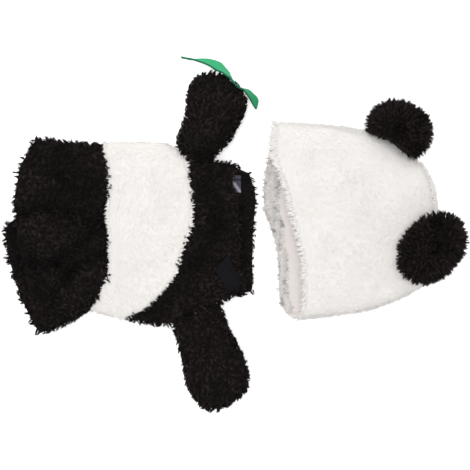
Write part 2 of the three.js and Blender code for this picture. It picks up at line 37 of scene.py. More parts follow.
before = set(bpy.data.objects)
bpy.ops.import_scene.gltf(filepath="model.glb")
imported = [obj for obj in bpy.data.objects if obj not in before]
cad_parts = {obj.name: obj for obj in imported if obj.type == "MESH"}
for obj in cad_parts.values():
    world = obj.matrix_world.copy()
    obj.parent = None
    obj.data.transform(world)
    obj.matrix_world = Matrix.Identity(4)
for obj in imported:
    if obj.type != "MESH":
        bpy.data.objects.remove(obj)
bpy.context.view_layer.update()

# Shapes are worked out in millimetres, and this is where the origin lies among them.
MM = 0.001
MIDDLE = np.array([-2.5, 0.2, 0.0])
SEED = 7

# Plush is a knitted ground with pile on it. A wall is both, and the ground is its inner part.
# The depth is how far in from the outside the pile's roots lie.
BLACK = {"wall": 6.0, "depth": 3.4, "slot": "black_plush"}
WHITE = {"wall": 5.0, "depth": 1.3, "slot": "white_plush"}
# The side seams lie this high, and the underside is flattened by the press.
SIDE_HEIGHT = 12.0
PRESS = 1.0
SEAM_GAP = 0.3
LEG_OVERLAP = 2.6
# Strands are lifted this far off the floor, smoothly over the blend. The floor's size is in metres.
FLOOR_LIFT = 0.3
FLOOR_BLEND = 0.8
FLOOR_SIZE = 6.0
# How often two places that depend on each other are worked out in turns, until they settle.
EDGE_TURNS = 30
ARM_TURNS = 12

# Rows and columns of the grids that cloth and pile are worked out on.
PANEL_CLOTH_GRID = (24, 43)
PANEL_PILE_GRID = (60, 91)
LEG_CLOTH_GRID = (27, 61)
LEG_PILE_GRID = (60, 121)
ARM_CLOTH_GRID = (30, 49)
ARM_PILE_GRID = (70, 121)
EAR_CORE_GRID = (20, 37)
EAR_PILE_GRID = (60, 121)
LEAF_GRID = (72, 17)
TAPE_GRID = (14, 20)

# A plush's tones, as shares of its colour: its pile at the root, painted darker as shade, and in bright
# flecks, which are painted highlights, and its ground's light and dark. Then how rough and how glossy its
# pile is.
PLUSH_TONES = {
    "black": {"root": 0.4, "bright": 4.4, "main": 1.3, "dark": 0.7, "roughness": 0.7, "gloss": 0.07},
    "white": {"root": 0.985, "bright": 1.02, "main": 1.0, "dark": 0.965, "roughness": 0.85, "gloss": 0.1},
}
GROUND_ROUGHNESS = 0.9
GROUND_RIBS = 700.0


def table(names, *rows):
    """Rows of numbers as named columns."""
    columns = np.array(rows, float).T
    return dict(zip(names.split(), columns))


# Along x: the two side lines in y, and how high the front lies. The legs share the line between them.
BODY_ROWS = table(
    "x low high height",
    (-133, -69.5, 82.5, 26), (-113, -75, 83, 26), (-100, -79, 83, 25), (-82, -82.5, 83, 25),
    (-67, -84, 82.5, 25), (-56, -84, 79, 25), (-44, -79, 70, 25), (-32, -73, 68, 25),
    (-19, -67, 67, 25), (-6, -60, 65, 25), (6, -57, 60, 24), (20, -55, 54.5, 24),
)
BETWEEN_LEGS = table(
    "x y",
    (-209, 13), (-196, 15), (-174, 17.3), (-158, 18.2), (-140, 14), (-127, 11), (-112, 9.7),
)
RIGHT_LEG_ROWS = table(
    "x side height",
    (-208, 89.5, 25), (-172, 87, 27), (-158, 85, 27), (-140, 83, 27), (-127, 82.6, 26),
    (-113, 83, 26),
)
LEFT_LEG_ROWS = table(
    "x side height",
    (-209, -95, 25), (-196, -94, 28), (-174, -92, 29), (-158, -85.4, 29), (-145, -78.4, 28),
    (-131, -70.3, 27), (-112, -75.4, 26),
)
HAT_ROWS = table(
    "x low high height",
    (17, -80.5, 100.5, 25), (33, -79, 100.5, 27), (58, -77.5, 99.5, 29), (89, -74, 97, 30),
    (116, -70, 92, 31), (128, -66.5, 87.5, 31), (139, -62.5, 81, 31), (149, -58, 73, 31),
    (159, -53, 67, 31), (166, -49, 63.5, 31), (171, -45.5, 59.5, 31), (184, -36, 50, 31),
)
# The panels' edges from side to side: y and x of each point.
EDGES = {
    "hem_right": [
        (87, -172), (82, -181), (71, -187), (60, -193), (50, -195), (39, -197), (26, -198.5),
        (19, -197.5), (16, -195),
    ],
    "hem_left_back": [
        (14, -197.5), (10, -203.5), (3, -208), (-10, -207.5), (-32, -202.5), (-49, -197.5),
        (-65, -191), (-79, -184), (-88, -178), (-92, -173.5),
    ],
    "hem_left_front": [
        (14, -197), (8, -197), (-6, -193), (-20, -188), (-36, -184.5), (-52, -182), (-66, -180),
        (-80, -178), (-92, -173.5),
    ],
    "waist": [
        (83, -120), (63, -116), (43, -113.5), (16, -116), (-4, -113.5), (-32, -113.7),
        (-47, -118.7), (-63, -127), (-70, -132.5),
    ],
    "chest_seam": [
        (70, -45), (50, -42.5), (32, -39.5), (10, -39), (-4, -44), (-18, -48.5), (-33, -52),
        (-47, -62), (-62, -76), (-69, -85.5), (-76, -102), (-78, -106),
    ],
    "neck_back": [
        (57, 11), (47, 14.5), (31, 18), (17, 17), (-4, 15.5), (-28, 15), (-42, 15.5), (-51, 14.5),
        (-56, 10),
    ],
    "neck_front": [
        (61, 2), (55, -2.5), (39, -2.5), (34, 2.5), (-22, 3.5), (-46, 6.5), (-54, 6),
    ],
    "mouth_back": [
        (100, 35), (91, 31.5), (75, 30.5), (60, 27.5), (35, 25), (18, 26), (10, 29.5), (-6, 35),
        (-22, 38), (-54, 39), (-69, 43), (-78, 54),
    ],
    "mouth_front": [
        (100, 35.5), (91, 34), (75, 32.5), (62, 36), (48, 41.5), (30, 47.2), (17, 50.3), (-7, 56),
        (-28, 60.5), (-59, 61), (-78, 56),
    ],
    "crown": [
        (60, 170.5), (53.5, 174), (46, 177.5), (39, 180), (25, 182), (10, 183), (-5, 183),
        (-18, 181.5), (-30, 178.5), (-40, 174), (-46, 169.5),
    ],
}
# Creases in the front: lines in plan, how wide they are and how deep.
FOLDS = table(
    "x1 y1 x2 y2 width depth",
    (-181, 74, -150, 44, 8, 3.5), (-158, 50, -126, 32, 7, 3), (-198, -26, -160, -28, 7, 4),
    (-160, -28, -126, 2, 6, 4.5), (-160, -56, -146, -34, 6, 5), (-146, -34, -118, -18, 6, 4),
    (-64, 10, -52, 34, 9, 2), (-90, -34, -62, -24, 9, 2.5), (-30, 40, -10, -30, 10, 2),
    (112, 44, 138, -8, 15, 4.5), (92, -22, 128, -44, 12, 3), (70, 62, 100, 70, 12, 2.5),
)
# Lines along which shade is painted onto the pile, and how much darker it is painted there.
PAINTED_SHADE_LINES = table(
    "x1 y1 x2 y2 width depth",
    (-157, 73, -121, 42, 7, 0.35), (-191, 19, -169, 28, 6, 0.3), (-169, 28, -149, 21, 6, 0.3),
    (-149, 30, -124, 8, 14, 0.35), (-198, -2, -187, -26, 9, 0.35), (-187, -26, -169, -64, 9, 0.4),
    (-187, -26, -163, -27, 7, 0.2), (-163, -27, -127, 1, 7, 0.25), (-122, -13, -157, -40, 6, 0.2),
    (-30, 70, -17, 8, 9, 0.3), (-17, 8, -37, -26, 9, 0.35), (-37, -26, -77, -70, 8, 0.3),
    (4, 34, 5, -26, 4, 0.35), (-19, 137, 4, 129, 7, 0.3), (-109, -19, -86, -37, 9, 0.3),
    (107, 44, 107, -37, 22, 0.3),
)
# Along y: an arm's two sides in x, and its underside and its top.
ARM_RIGHT_ROWS = table(
    "y left right low high",
    (57, -41.5, -23.5, 0, 17), (68, -46.5, -20, 0, 22), (75, -52, -13.5, 0, 27),
    (82.5, -54, -5.5, 0, 32), (89.5, -51.5, -1, 0, 34), (97, -49, 3, 0, 36), (104, -47, 6.5, 0, 37),
    (111, -45.5, 9.5, 0, 37), (118.5, -45, 10.5, 0, 36), (125.5, -44, 8, 0, 35),
    (133, -41, 1.5, 1, 32), (138, -37, -5, 3.5, 29), (141.5, -32, -11, 7, 25),
    (143.5, -26, -17.5, 12, 20),
)
ARM_LEFT_ROWS = table(
    "y left right low high",
    (-66, -41.5, -13, 0, 17), (-78, -52, -8.5, 0, 24), (-85, -57, -5.5, 0, 29),
    (-92, -55, -2, 0, 31), (-99.5, -53, 2, 0, 33), (-106.5, -51, 5.5, 0, 35),
    (-114, -49, 8.5, 0, 36), (-121, -48, 11, 0, 37), (-128, -46.5, 12, 0, 37),
    (-135.5, -45, 11.5, 0, 36), (-142.5, -41.5, 8, 0.5, 34), (-148, -37.5, 1, 1.5, 31),
    (-153.5, -32.5, -8, 4.5, 27.5), (-157, -27.5, -15, 8, 24), (-158.5, -23, -18, 12, 20),
)
# An arm's section is rounder the nearer its power is to 1, and an inset leaves at least this share of it.
# It starts this gap off the chest's side line. Its sections lie closer towards the tip, by the ease, and
# at the tip and the top the inset is only this share of itself.
ARM_POWER = 0.8
ARM_LEAST = 0.15
ARM_GAP = 0.6
ARM_EASE = 1.6
ARM_TIP_INSET = 0.6
ARM_TOP_INSET = 0.9
# The leaf's middle line, its width, and its lean from upright in degrees.
LEAF_ROWS = table(
    "step x y z width lean",
    (0, -49.2, 158, 19, 1.2, 5), (1, -41.4, 156.6, 18.5, 5.5, 6), (2, -31.2, 154.8, 18, 9.5, 19),
    (3, -22.5, 152.7, 18, 13, 33), (4, -15.3, 149.6, 18, 14.8, 33), (5, -10.9, 145.9, 18, 15, 23),
    (6, -6.9, 141.5, 18, 15, 12), (7, -2.5, 136.5, 18, 15, 6), (8, 3.6, 130.6, 18, 14, 5),
    (9, 8.6, 128, 17, 12, 14), (10, 13, 124.4, 16, 10.5, 30), (11, 16.8, 119.5, 15, 8.5, 46),
    (12, 17.8, 111.8, 13.5, 1.2, 44),
)
LEAF_THICKNESS = 1.6
# Each tape's corners in plan, and the gap between it and what it lies on.
LOOP_TAPE = {"corners": [(-8, -19), (6, -45), (-6, -53), (-19, -33)], "thickness": 1.4, "gap": 0.9}
# How much of the loop tape, from its middle, the chest's pile leaves bare.
TAPE_BARE_SHARE = 0.86
HOOK_TAPE = {"corners": [(-7, 37), (4.5, 37), (4.5, 52.5), (-7, 52.5)], "thickness": 1.6, "gap": 0.6}
FACING = {"corners": [(5, 37), (12, 37.5), (9, 52), (5, 52.5)], "thickness": 1.4, "gap": 0.6}
# Where no pile turns in over the tape and the facing inside the neck.
BARE_IN_NECK = [(-2.7, 47.3), (-1.8, 52.5), (10, 52.5), (12.5, 37), (5.4, 36), (-0.9, 40)]
# A pompom's size is from its centre to its outside, and it is turned in plan, in degrees.
EAR_RIGHT = {"centre": (145.7, 92, 25), "size": (33, 28, 23), "turn": -24}
# The hat's edge, beside which the right ear's yarn stays.
HAT_OVER_EAR = table(
    "x y",
    (105, 95), (114, 91), (121.5, 85), (139, 78.5), (147, 71.5), (157, 64.5), (168, 56), (185, 36),
)
EAR_LEFT = {"centre": (172.8, -13, 45), "size": (39.5, 28, 24), "turn": 49}
# A pompom's core, as a share of its size.
EAR_CORE_SHARE = 0.76
# Tufts along the hat's edges: their length, the share of the hat that their band starts and ends at,
# their random seed, the way that they lean, and their columns where these don't go from side to side.
HAT_FRINGE = (
    (5.4, 0.0, 0.025, 44, (-1.3, -0.2, 0)),
    (7.5, 0.0, 0.03, 49, (-1.5, 0.0, 0), slice(64, None)),
    (3.6, 0.955, 0.996, 45, (0.9, 0.0, 0)),
    (5.0, 0.42, 0.98, 46, (0.3, 1.2, 0.2), slice(82, None)),
    (3.6, 0.0, 0.42, 47, (-0.3, 0.8, 0), slice(84, None)),
    (3.6, 0.0, 0.98, 48, (-0.3, -0.8, 0), slice(0, 7)),
)


def curve(rows, key, value):
    """A smooth line through a table's points that never overshoots them: a cubic between each two
    points, whose slope at a point is the harmonic mean of the slopes on its two sides, or 0."""
    order = np.argsort(rows[key])
    x, y = rows[key][order], rows[value][order]
    steps = np.diff(y) / np.diff(x)
    before = np.concatenate([steps[:1], steps])
    after = np.concatenate([steps, steps[-1:]])
    total = np.where(before * after > 0, before + after, 1.0)
    slopes = np.where(before * after > 0, 2 * before * after / total, 0.0)

    def at(place):
        inside = np.clip(place, x[0], x[-1])
        i = np.clip(np.searchsorted(x, inside, side="right") - 1, 0, len(x) - 2)
        width = x[i + 1] - x[i]
        u = (inside - x[i]) / width
        return (
            y[i] * (1 + 2 * u) * (1 - u) ** 2
            + y[i + 1] * u * u * (3 - 2 * u)
            + slopes[i] * width * u * (1 - u) ** 2
            - slopes[i + 1] * width * u * u * (1 - u)
        )

    return at


class Form:
    """A flattened tube along X: its two side lines, and how high its front lies."""

    def __init__(self, low, high, height, roundness):
        self.low, self.high, self.height, self.roundness = low, high, height, roundness

    def across(self, x, t, inset=0.0):
        """y where t runs from -1 on the low side line to 1 on the high one, inset from both."""
        low, high = self.low(x), self.high(x)
        return (low + high) / 2 + t * ((high - low) / 2 - inset)

    def bulge(self, t):
        """Height over the side seam as a share: the square root of 1 less t to a power."""
        return np.sqrt(np.maximum(0.0, 1 - np.abs(t) ** self.roundness))


def flat_form(rows, roundness):
    """A form from a table's side lines and heights."""
    return Form(curve(rows, "x", "low"), curve(rows, "x", "high"), curve(rows, "x", "height"), roundness)


between_legs = curve(BETWEEN_LEGS, "x", "y")
BODY = flat_form(BODY_ROWS, 4)
HAT = flat_form(HAT_ROWS, 4)
LEG_RIGHT = Form(
    lambda x: between_legs(x) - LEG_OVERLAP,
    curve(RIGHT_LEG_ROWS, "x", "side"),
    curve(RIGHT_LEG_ROWS, "x", "height"),
    3,
)
LEG_LEFT = Form(
    curve(LEFT_LEG_ROWS, "x", "side"),
    lambda x: between_legs(x) + LEG_OVERLAP,
    curve(LEFT_LEG_ROWS, "x", "height"),
    3.5,
)
EDGE = {name: curve(table("y x", *rows), "y", "x") for name, rows in EDGES.items()}

# Each panel lies on a form, from one edge along X to another. A closed one curves down to its last edge,
# by this power.
PANELS = {
    "leg_right": {"form": LEG_RIGHT, "plush": BLACK, "from": "hem_right", "to": "waist"},
    "leg_left": {"form": LEG_LEFT, "plush": BLACK, "from": "hem_left_front", "to": "waist"},
    "leg_left_back": {"form": LEG_LEFT, "plush": BLACK, "from": "hem_left_back", "to": "waist"},
    "belly_front": {"form": BODY, "plush": WHITE, "from": "waist", "to": "chest_seam"},
    "belly_back": {"form": BODY, "plush": WHITE, "from": "waist", "to": "chest_seam"},
    "chest_front": {"form": BODY, "plush": BLACK, "from": "chest_seam", "to": "neck_front"},
    "chest_back": {"form": BODY, "plush": BLACK, "from": "chest_seam", "to": "neck_back"},
    "hat_front": {"form": HAT, "plush": WHITE, "from": "mouth_front", "to": "crown", "closed": 7},
    "hat_back": {"form": HAT, "plush": WHITE, "from": "mouth_back", "to": "crown", "closed": 7},
}


def near_lines(lines, x, y):
    """For each line, its depth times e to the power of less the square of the distance from it over
    its width, all added up."""
    x, y = np.broadcast_arrays(x, y)
    x, y = x[..., None], y[..., None]
    dx, dy = lines["x2"] - lines["x1"], lines["y2"] - lines["y1"]
    along = np.clip(((x - lines["x1"]) * dx + (y - lines["y1"]) * dy) / (dx**2 + dy**2), 0, 1)
    away = np.hypot(x - lines["x1"] - along * dx, y - lines["y1"] - along * dy)
    return (lines["depth"] * np.exp(-((away / lines["width"]) ** 2))).sum(-1)


def fold_depth(x, y):
    """How far the front is pressed in."""
    return near_lines(FOLDS, x, y)


def crossing(form, line, t, inset):
    """x where the line of constant t meets an edge, found by going back and forth between the two."""
    x = line(form.across(0.0 * t, t, inset))
    for _ in range(EDGE_TURNS):
        x = line(form.across(x, t, inset))
    return x


def slant(line, y):
    """How much further along X a gap reaches where an edge slants."""
    return np.hypot(1, line(y + 0.5) - line(y - 0.5))


def surface(panel, side, s, t, inset):
    """A point of a panel: s runs from its first edge to its second, t from side to side, and the
    inset goes in from the outside. The front's height over the side seam, and the back's depth
    under it, is the square root of 1 less t to a power, less the folds on the front."""
    form = panel["form"]
    first_line, last_line = EDGE[panel["from"]], EDGE[panel["to"]]
    first = crossing(form, first_line, t, inset)
    last = crossing(form, last_line, t, inset)
    first = first + SEAM_GAP / 2 * slant(first_line, form.across(first, t, inset))
    last = last - SEAM_GAP * slant(last_line, form.across(last, t, inset))
    power = panel.get("closed")
    last = last - (inset if power else 0)
    x = first + s * (last - first)
    y = form.across(x, t, inset)
    swell = form.bulge(t) * (np.sqrt(np.maximum(0.0, 1 - s**power)) if power else 1.0)
    back = np.maximum(inset, SIDE_HEIGHT - (SIDE_HEIGHT + PRESS - inset) * swell)
    pressed = fold_depth(x, form.across(x, t))
    front = SIDE_HEIGHT + (form.height(x) - SIDE_HEIGHT - inset - pressed) * swell
    return np.stack(np.broadcast_arrays(x, y, np.where(side > 0, front, back)), -1)


def front_height(form, x, y):
    """The height of a form's front at a place in plan, by the surface's formula."""
    middle = form.across(x, 0.0)
    t = (y - middle) / (form.across(x, 1.0) - middle)
    return SIDE_HEIGHT + (form.height(x) - SIDE_HEIGHT - fold_depth(x, y)) * form.bulge(t)


def inner_back_height(form, x, y, inset):
    """The height of the inside of a form's back at a place in plan, by the surface's formula."""
    middle = form.across(x, 0.0)
    t = (y - middle) / (form.across(x, 1.0, inset) - middle)
    return np.maximum(inset, SIDE_HEIGHT - (SIDE_HEIGHT + PRESS - inset) * form.bulge(t))


def grid(rows, columns, low=(0.0, 0.0), high=(1.0, 1.0)):
    """Two parameters on a grid, as a column and a row."""
    return np.linspace(low[0], high[0], rows)[:, None], np.linspace(low[1], high[1], columns)[None, :]


def panel_grid(name, side, inset, rows, columns, start=0.0, end=1.0):
    """One side of a panel. Columns lie closer together at the side seams: t is less a cosine."""
    s, k = grid(rows, columns, (start, 0.0), (end, 1.0))
    t = -np.cos(np.pi * k) + 0 * s
    return surface(PANELS[name], np.full_like(t, side), s + 0 * k, t, inset)


def tube_grid(front, back, inset, rows, columns, start=0.0, end=1.0):
    """All round a tube, with its last column on its first: t is the cosine of the turn."""
    s, turn = grid(rows, columns, (start, 0.0), (end, 2 * np.pi))
    s, turn = s + 0 * turn, turn + 0 * s
    upper = surface(PANELS[front], np.full_like(s, 1), s, np.cos(turn), inset)
    lower = surface(PANELS[back], np.full_like(s, -1), s, np.cos(turn), inset)
    return np.where((turn <= np.pi)[..., None], upper, lower)


def arm_grid(rows, inset, count, columns):
    """All round a stuffed arm, from the body's side to its tip: at each place along it the section is
    a rounded box, whose x and z are the cosine and sine of the turn, each to a power. Where it starts
    depends on the side line, which depends on x, so the two are worked out in turns."""
    s, turn = grid(count, columns, (0.0, 0.0), (1.0, 2 * np.pi))
    s, turn = s + 0 * turn, turn + 0 * s
    left, right, low, high = (curve(rows, "y", key) for key in ("left", "right", "low", "high"))
    away = np.sign(rows["y"][-1])
    tip = rows["y"][-1] - away * inset * ARM_TIP_INSET
    guess = -30.0
    side = BODY.high if away > 0 else BODY.low
    across, up = (np.sign(f(turn)) * np.abs(f(turn)) ** ARM_POWER for f in (np.cos, np.sin))
    ease = 1 - (1 - s) ** ARM_EASE
    x = (left(side(guess)) + right(side(guess))) / 2 + 0 * s
    for _ in range(ARM_TURNS):
        start = side(x) - away * (inset - ARM_GAP)
        y = start + ease * (tip - start)
        half = (right(y) - left(y)) / 2
        x = (left(y) + right(y)) / 2 + np.maximum(half - inset, ARM_LEAST * half) * across
    tall = (high(y) - low(y)) / 2
    z = (low(y) + high(y)) / 2 + (np.maximum(tall - inset, ARM_LEAST * tall) + PRESS) * up
    return np.stack([x, y, np.clip(z, low(y) + inset, high(y) - inset * ARM_TOP_INSET)], -1)


def ellipsoid_grid(ear, share, rows, columns):
    """All round a pompom, from pole to pole: a ball scaled to its size and turned in plan."""
    down, turn = grid(rows, columns, (0.0, 0.0), (np.pi, 2 * np.pi))
    rings = (np.sin(down) * np.cos(turn), np.sin(down) * np.sin(turn), np.cos(down))
    ball = np.stack(np.broadcast_arrays(*rings), -1) * share
    angle = np.radians(ear["turn"])
    x, y, z = np.moveaxis(ball * np.array(ear["size"]), -1, 0)
    turned = [x * np.cos(angle) - y * np.sin(angle), x * np.sin(angle) + y * np.cos(angle), z]
    return np.stack(turned, -1) + np.array(ear["centre"])


def strip_faces(number, flip=False):
    """Quads over a grid of vertex numbers."""
    corners = [number[:-1, :-1], number[1:, :-1], number[1:, 1:], number[:-1, 1:]]
    quads = np.stack(corners, -1).reshape(-1, 4)
    return quads[:, ::-1] if flip else quads


def shell(outer, inner, ring):
    """Closes a wall between two grids of points, with a strip round each edge."""
    rows, columns = outer.shape[:2]
    number = np.arange(2 * rows * columns).reshape(2, rows, columns)
    if ring:
        number = np.concatenate([number, number[:, :, :1]], axis=2)
    over, under = number
    faces = [strip_faces(over), strip_faces(under, flip=True)]
    faces.append(strip_faces(np.stack([over[0], under[0]]), flip=True))
    faces.append(strip_faces(np.stack([over[-1], under[-1]])))
    if not ring:
        faces.append(strip_faces(np.stack([over[:, 0], under[:, 0]])))
        faces.append(strip_faces(np.stack([over[:, -1], under[:, -1]]), flip=True))
    points = np.concatenate([outer, inner]).reshape(-1, 3)
    return outward(points, np.concatenate(faces))


def closed_rings(rings):
    """Closes a stack of rings with a fan at each end, all of it in triangles."""
    rows, columns = rings.shape[:2]
    number = np.arange(rows * columns).reshape(rows, columns)
    number = np.concatenate([number, number[:, :1]], axis=1)
    points = np.concatenate([rings.reshape(-1, 3), rings[[0, -1]].mean(axis=1)])
    tri = [triangles(strip_faces(number))]
    for row, end, step in ((0, rows * columns, 1), (-1, rows * columns + 1, -1)):
        fan = np.stack([number[row, :-1], np.full(columns, end), number[row, 1:]], -1)
        tri.append(fan[:, ::step])
    return outward(points, np.concatenate(tri))


def triangles(quads):
    """Each quad as two triangles."""
    return quads if quads.shape[1] == 3 else np.concatenate([quads[:, [0, 1, 2]], quads[:, [0, 2, 3]]])


def outward(points, faces):
    """Turns all faces round if the volume that they enclose comes out negative."""
    a, b, c = (points[triangles(faces)[:, k]] for k in range(3))
    return points, faces if (a * np.cross(b, c)).sum() > 0 else faces[:, ::-1]


def unit(vectors):
    """The same directions, 1 long."""
    return vectors / np.maximum(np.linalg.norm(vectors, axis=-1, keepdims=True), 1e-9)


# The fractions that low-discrepancy points advance by, one for each parameter.
STEPS = (0.7548776662, 0.5698402910)


class Ground:
    """A grid of points on a surface that pile grows from. Its normals are the cross products of its
    steps down and over, turned to the outside. A cell's area is half the cross product of its
    diagonals."""

    def __init__(self, points, outside):
        self.points = points
        down, over = np.gradient(points, axis=0), np.gradient(points, axis=1)
        normal = unit(np.cross(down, over))
        self.normal = normal if (normal * outside).sum() > 0 else -normal
        self.along = unit(down)
        a, b = points[1:, 1:] - points[:-1, :-1], points[1:, :-1] - points[:-1, 1:]
        self.area = np.linalg.norm(np.cross(a, b), axis=-1) / 2

    def places(self, spacing, dice):
        """Places spread evenly by area, one for each square of the spacing: low-discrepancy points
        carried through the running sum of area by row, and then by cell."""
        count = int(self.area.sum() / spacing**2)
        rows, columns = self.area.shape
        rim = np.zeros(1)
        row_edge = np.concatenate([rim, np.cumsum(self.area.sum(1))]) / self.area.sum()
        cells = np.cumsum(self.area, axis=1) / self.area.sum(1, keepdims=True)
        cells = np.concatenate([np.zeros((rows, 1)), cells], axis=1)
        k = np.arange(count)
        shake = dice.normal(0, 0.25 / np.sqrt(count), (2, count))
        u, v = ((0.5 + k * step + jog) % 1 for step, jog in zip(STEPS, shake))
        i = np.clip(np.searchsorted(row_edge, u, side="right") - 1, 0, rows - 1)
        stacked = (cells + np.arange(rows)[:, None]).ravel()
        j = np.searchsorted(stacked, v + i, side="right") - 1 - i * (columns + 1)
        j = np.clip(j, 0, columns - 1)
        fu = (u - row_edge[i]) / (row_edge[i + 1] - row_edge[i])
        fv = (v - cells[i, j]) / np.maximum(cells[i, j + 1] - cells[i, j], 1e-9)
        return i + np.clip(fu, 0, 1), j + np.clip(fv, 0, 1)

    def at(self, field, i, j):
        """A field between the grid's points, in straight lines."""
        a, b = np.minimum(i.astype(int), field.shape[0] - 2), np.minimum(j.astype(int), field.shape[1] - 2)
        u, v = (i - a)[:, None], (j - b)[:, None]
        low = field[a, b] * (1 - u) + field[a + 1, b] * u
        high = field[a, b + 1] * (1 - u) + field[a + 1, b + 1] * u
        return low * (1 - v) + high * v


def ripple(points, size, dice, waves=7):
    """A smooth wandering number at each point, about from -1 to 1: sines across random directions."""
    total = np.zeros(len(points))
    for _ in range(waves):
        way = unit(dice.normal(size=3)) / (size * dice.uniform(0.7, 1.5))
        total += np.sin(points @ way * 2 * np.pi + dice.uniform(0, 2 * np.pi))
    return total / np.sqrt(waves / 2)


def above_floor(points):
    """Lifts what would go through the floor: z is the blend times the log of 1 plus e to z over it."""
    z = (points[..., 2] - FLOOR_LIFT) / FLOOR_BLEND
    lifted = FLOOR_LIFT + FLOOR_BLEND * np.where(z > 20, z, np.log1p(np.exp(np.minimum(z, 20))))
    return np.concatenate([points[..., :2], lifted[..., None]], -1)


# How far in from an edge pile leans over it.
EDGE_REACH = 4.0


def grow(ground, dice, look, flow=(0.0, 0.0, 0.0), edge=(0.0, 0.0), keep=None):
    """Locks of pile on a ground. A lock starts leaning by its first angle and ends leaning by its last,
    so its line is an arc, and a curl goes round that arc. Its strands start round its root, within the
    radius, and gather towards its tip. Each strand is a tube of three sides that ends in a point.
    Locks lean with the flow, wander with their patch and scatter by themselves, and near the ground's
    first and last edges they lean over these. Their tone holds shade painted in the front's folds and
    along the painted shade lines, and a patch changes it at random.
    Soft pile takes its light from the ground's direction and not from its strands' own."""
    i, j = ground.places(look["spacing"], dice)
    root = ground.at(ground.points, i, j)
    normal = unit(ground.at(ground.normal, i, j))
    along = ground.at(ground.along, i, j)
    count, strands = len(root), look["strands"]
    drift = np.stack([ripple(root, look["patch"], dice) for _ in range(3)], -1)
    lean = np.array(flow) + look["wander"] * drift + look["scatter"] * dice.normal(size=(count, 3))
    rows = ground.points.shape[0] - 1
    length_along = np.linalg.norm(np.diff(ground.points, axis=0), axis=-1).sum(0).mean()
    to_start, to_end = i / rows * length_along, (1 - i / rows) * length_along
    over_end, over_start = (np.exp(-away / EDGE_REACH) for away in (to_end, to_start))
    lean += along * (edge[1] * over_end - edge[0] * over_start)[:, None]
    lean -= (lean * normal).sum(-1, keepdims=True) * normal
    strength = np.clip(np.linalg.norm(lean, axis=-1), 0.2, 1.6)[:, None]
    lean = unit(lean)
    across = np.cross(normal, lean)

    spin = dice.uniform(0, 2 * np.pi, (count, strands, 1))
    reach = look["radius"] * np.sqrt(dice.uniform(0, 1, (count, strands, 1)))
    offset = reach * (np.cos(spin) * lean[:, None] + np.sin(spin) * across[:, None])
    steps = np.linspace(0, 1, look["rings"] + 1)[None, None, :, None]
    short = 1 - look["side_short"] * (1 - np.abs(normal[:, 2]))
    length = look["length"] * short[:, None, None, None] * dice.uniform(0.8, 1.2, (count, 1, 1, 1))
    length = length * dice.uniform(0.82, 1.05, (count, strands, 1, 1))
    first = look["first_lean"]
    last = np.minimum(look["last_lean"] * (0.75 + 0.25 * strength), 1.75)[:, :, None, None]
    bend = last - first
    angle = first + bend * steps
    rise = (np.sin(angle) - np.sin(first)) / bend
    slide = (np.cos(first) - np.cos(angle)) / bend
    normal4, lean4, across4 = (v[:, None, None] for v in (normal, lean, across))
    line = root[:, None, None] + length * (rise * normal4 + slide * lean4)
    phase = dice.uniform(0, 2 * np.pi, (count, 1, 1, 1)) + dice.normal(0, 0.3, (count, strands, 1, 1))
    coil = phase + 2 * np.pi * look["turns"] * steps * dice.uniform(0.7, 1.3, (count, 1, 1, 1))
    swing = look["curl"] * steps**0.8
    line = line + swing * (np.cos(coil) * across4 + 0.6 * np.sin(coil) * normal4)
    line = line + offset[:, :, None] * (1 - look["gather"] * steps)
    by_lock, by_strand = dice.normal(size=(count, 1)), dice.normal(size=(count, strands))
    shade = np.clip(0.5 + 0.22 * by_lock + 0.12 * by_strand, 0, 1)
    plan = (root[:, 0], root[:, 1])
    # Painted shade: pile that faces up is painted darker in the front's folds and along the painted shade
    # lines.
    painted_shade = look["fold_painted_shade"] * fold_depth(*plan) + look["line_painted_shade"] * near_lines(PAINTED_SHADE_LINES, *plan)
    tone = np.exp(-np.clip(normal[:, 2], 0, 1) * painted_shade)
    tone = np.repeat(tone * (1 + look["patch_tone"] * drift[:, 0]), strands)
    line = line.reshape(-1, look["rings"] + 1, 3)
    side = np.repeat(across, strands, axis=0)
    up = np.repeat(unit(normal + [0, 0, look["rise"]]), strands, axis=0)
    shade = shade.reshape(-1)
    if keep is not None:
        kept = keep(line[:, -1])
        line, side, up, shade, tone = line[kept], side[kept], up[kept], shade[kept], tone[kept]
    width = look["width"] * dice.uniform(0.8, 1.2, len(line))
    return thread(line, side, width, shade, tone, up, look["soft"])


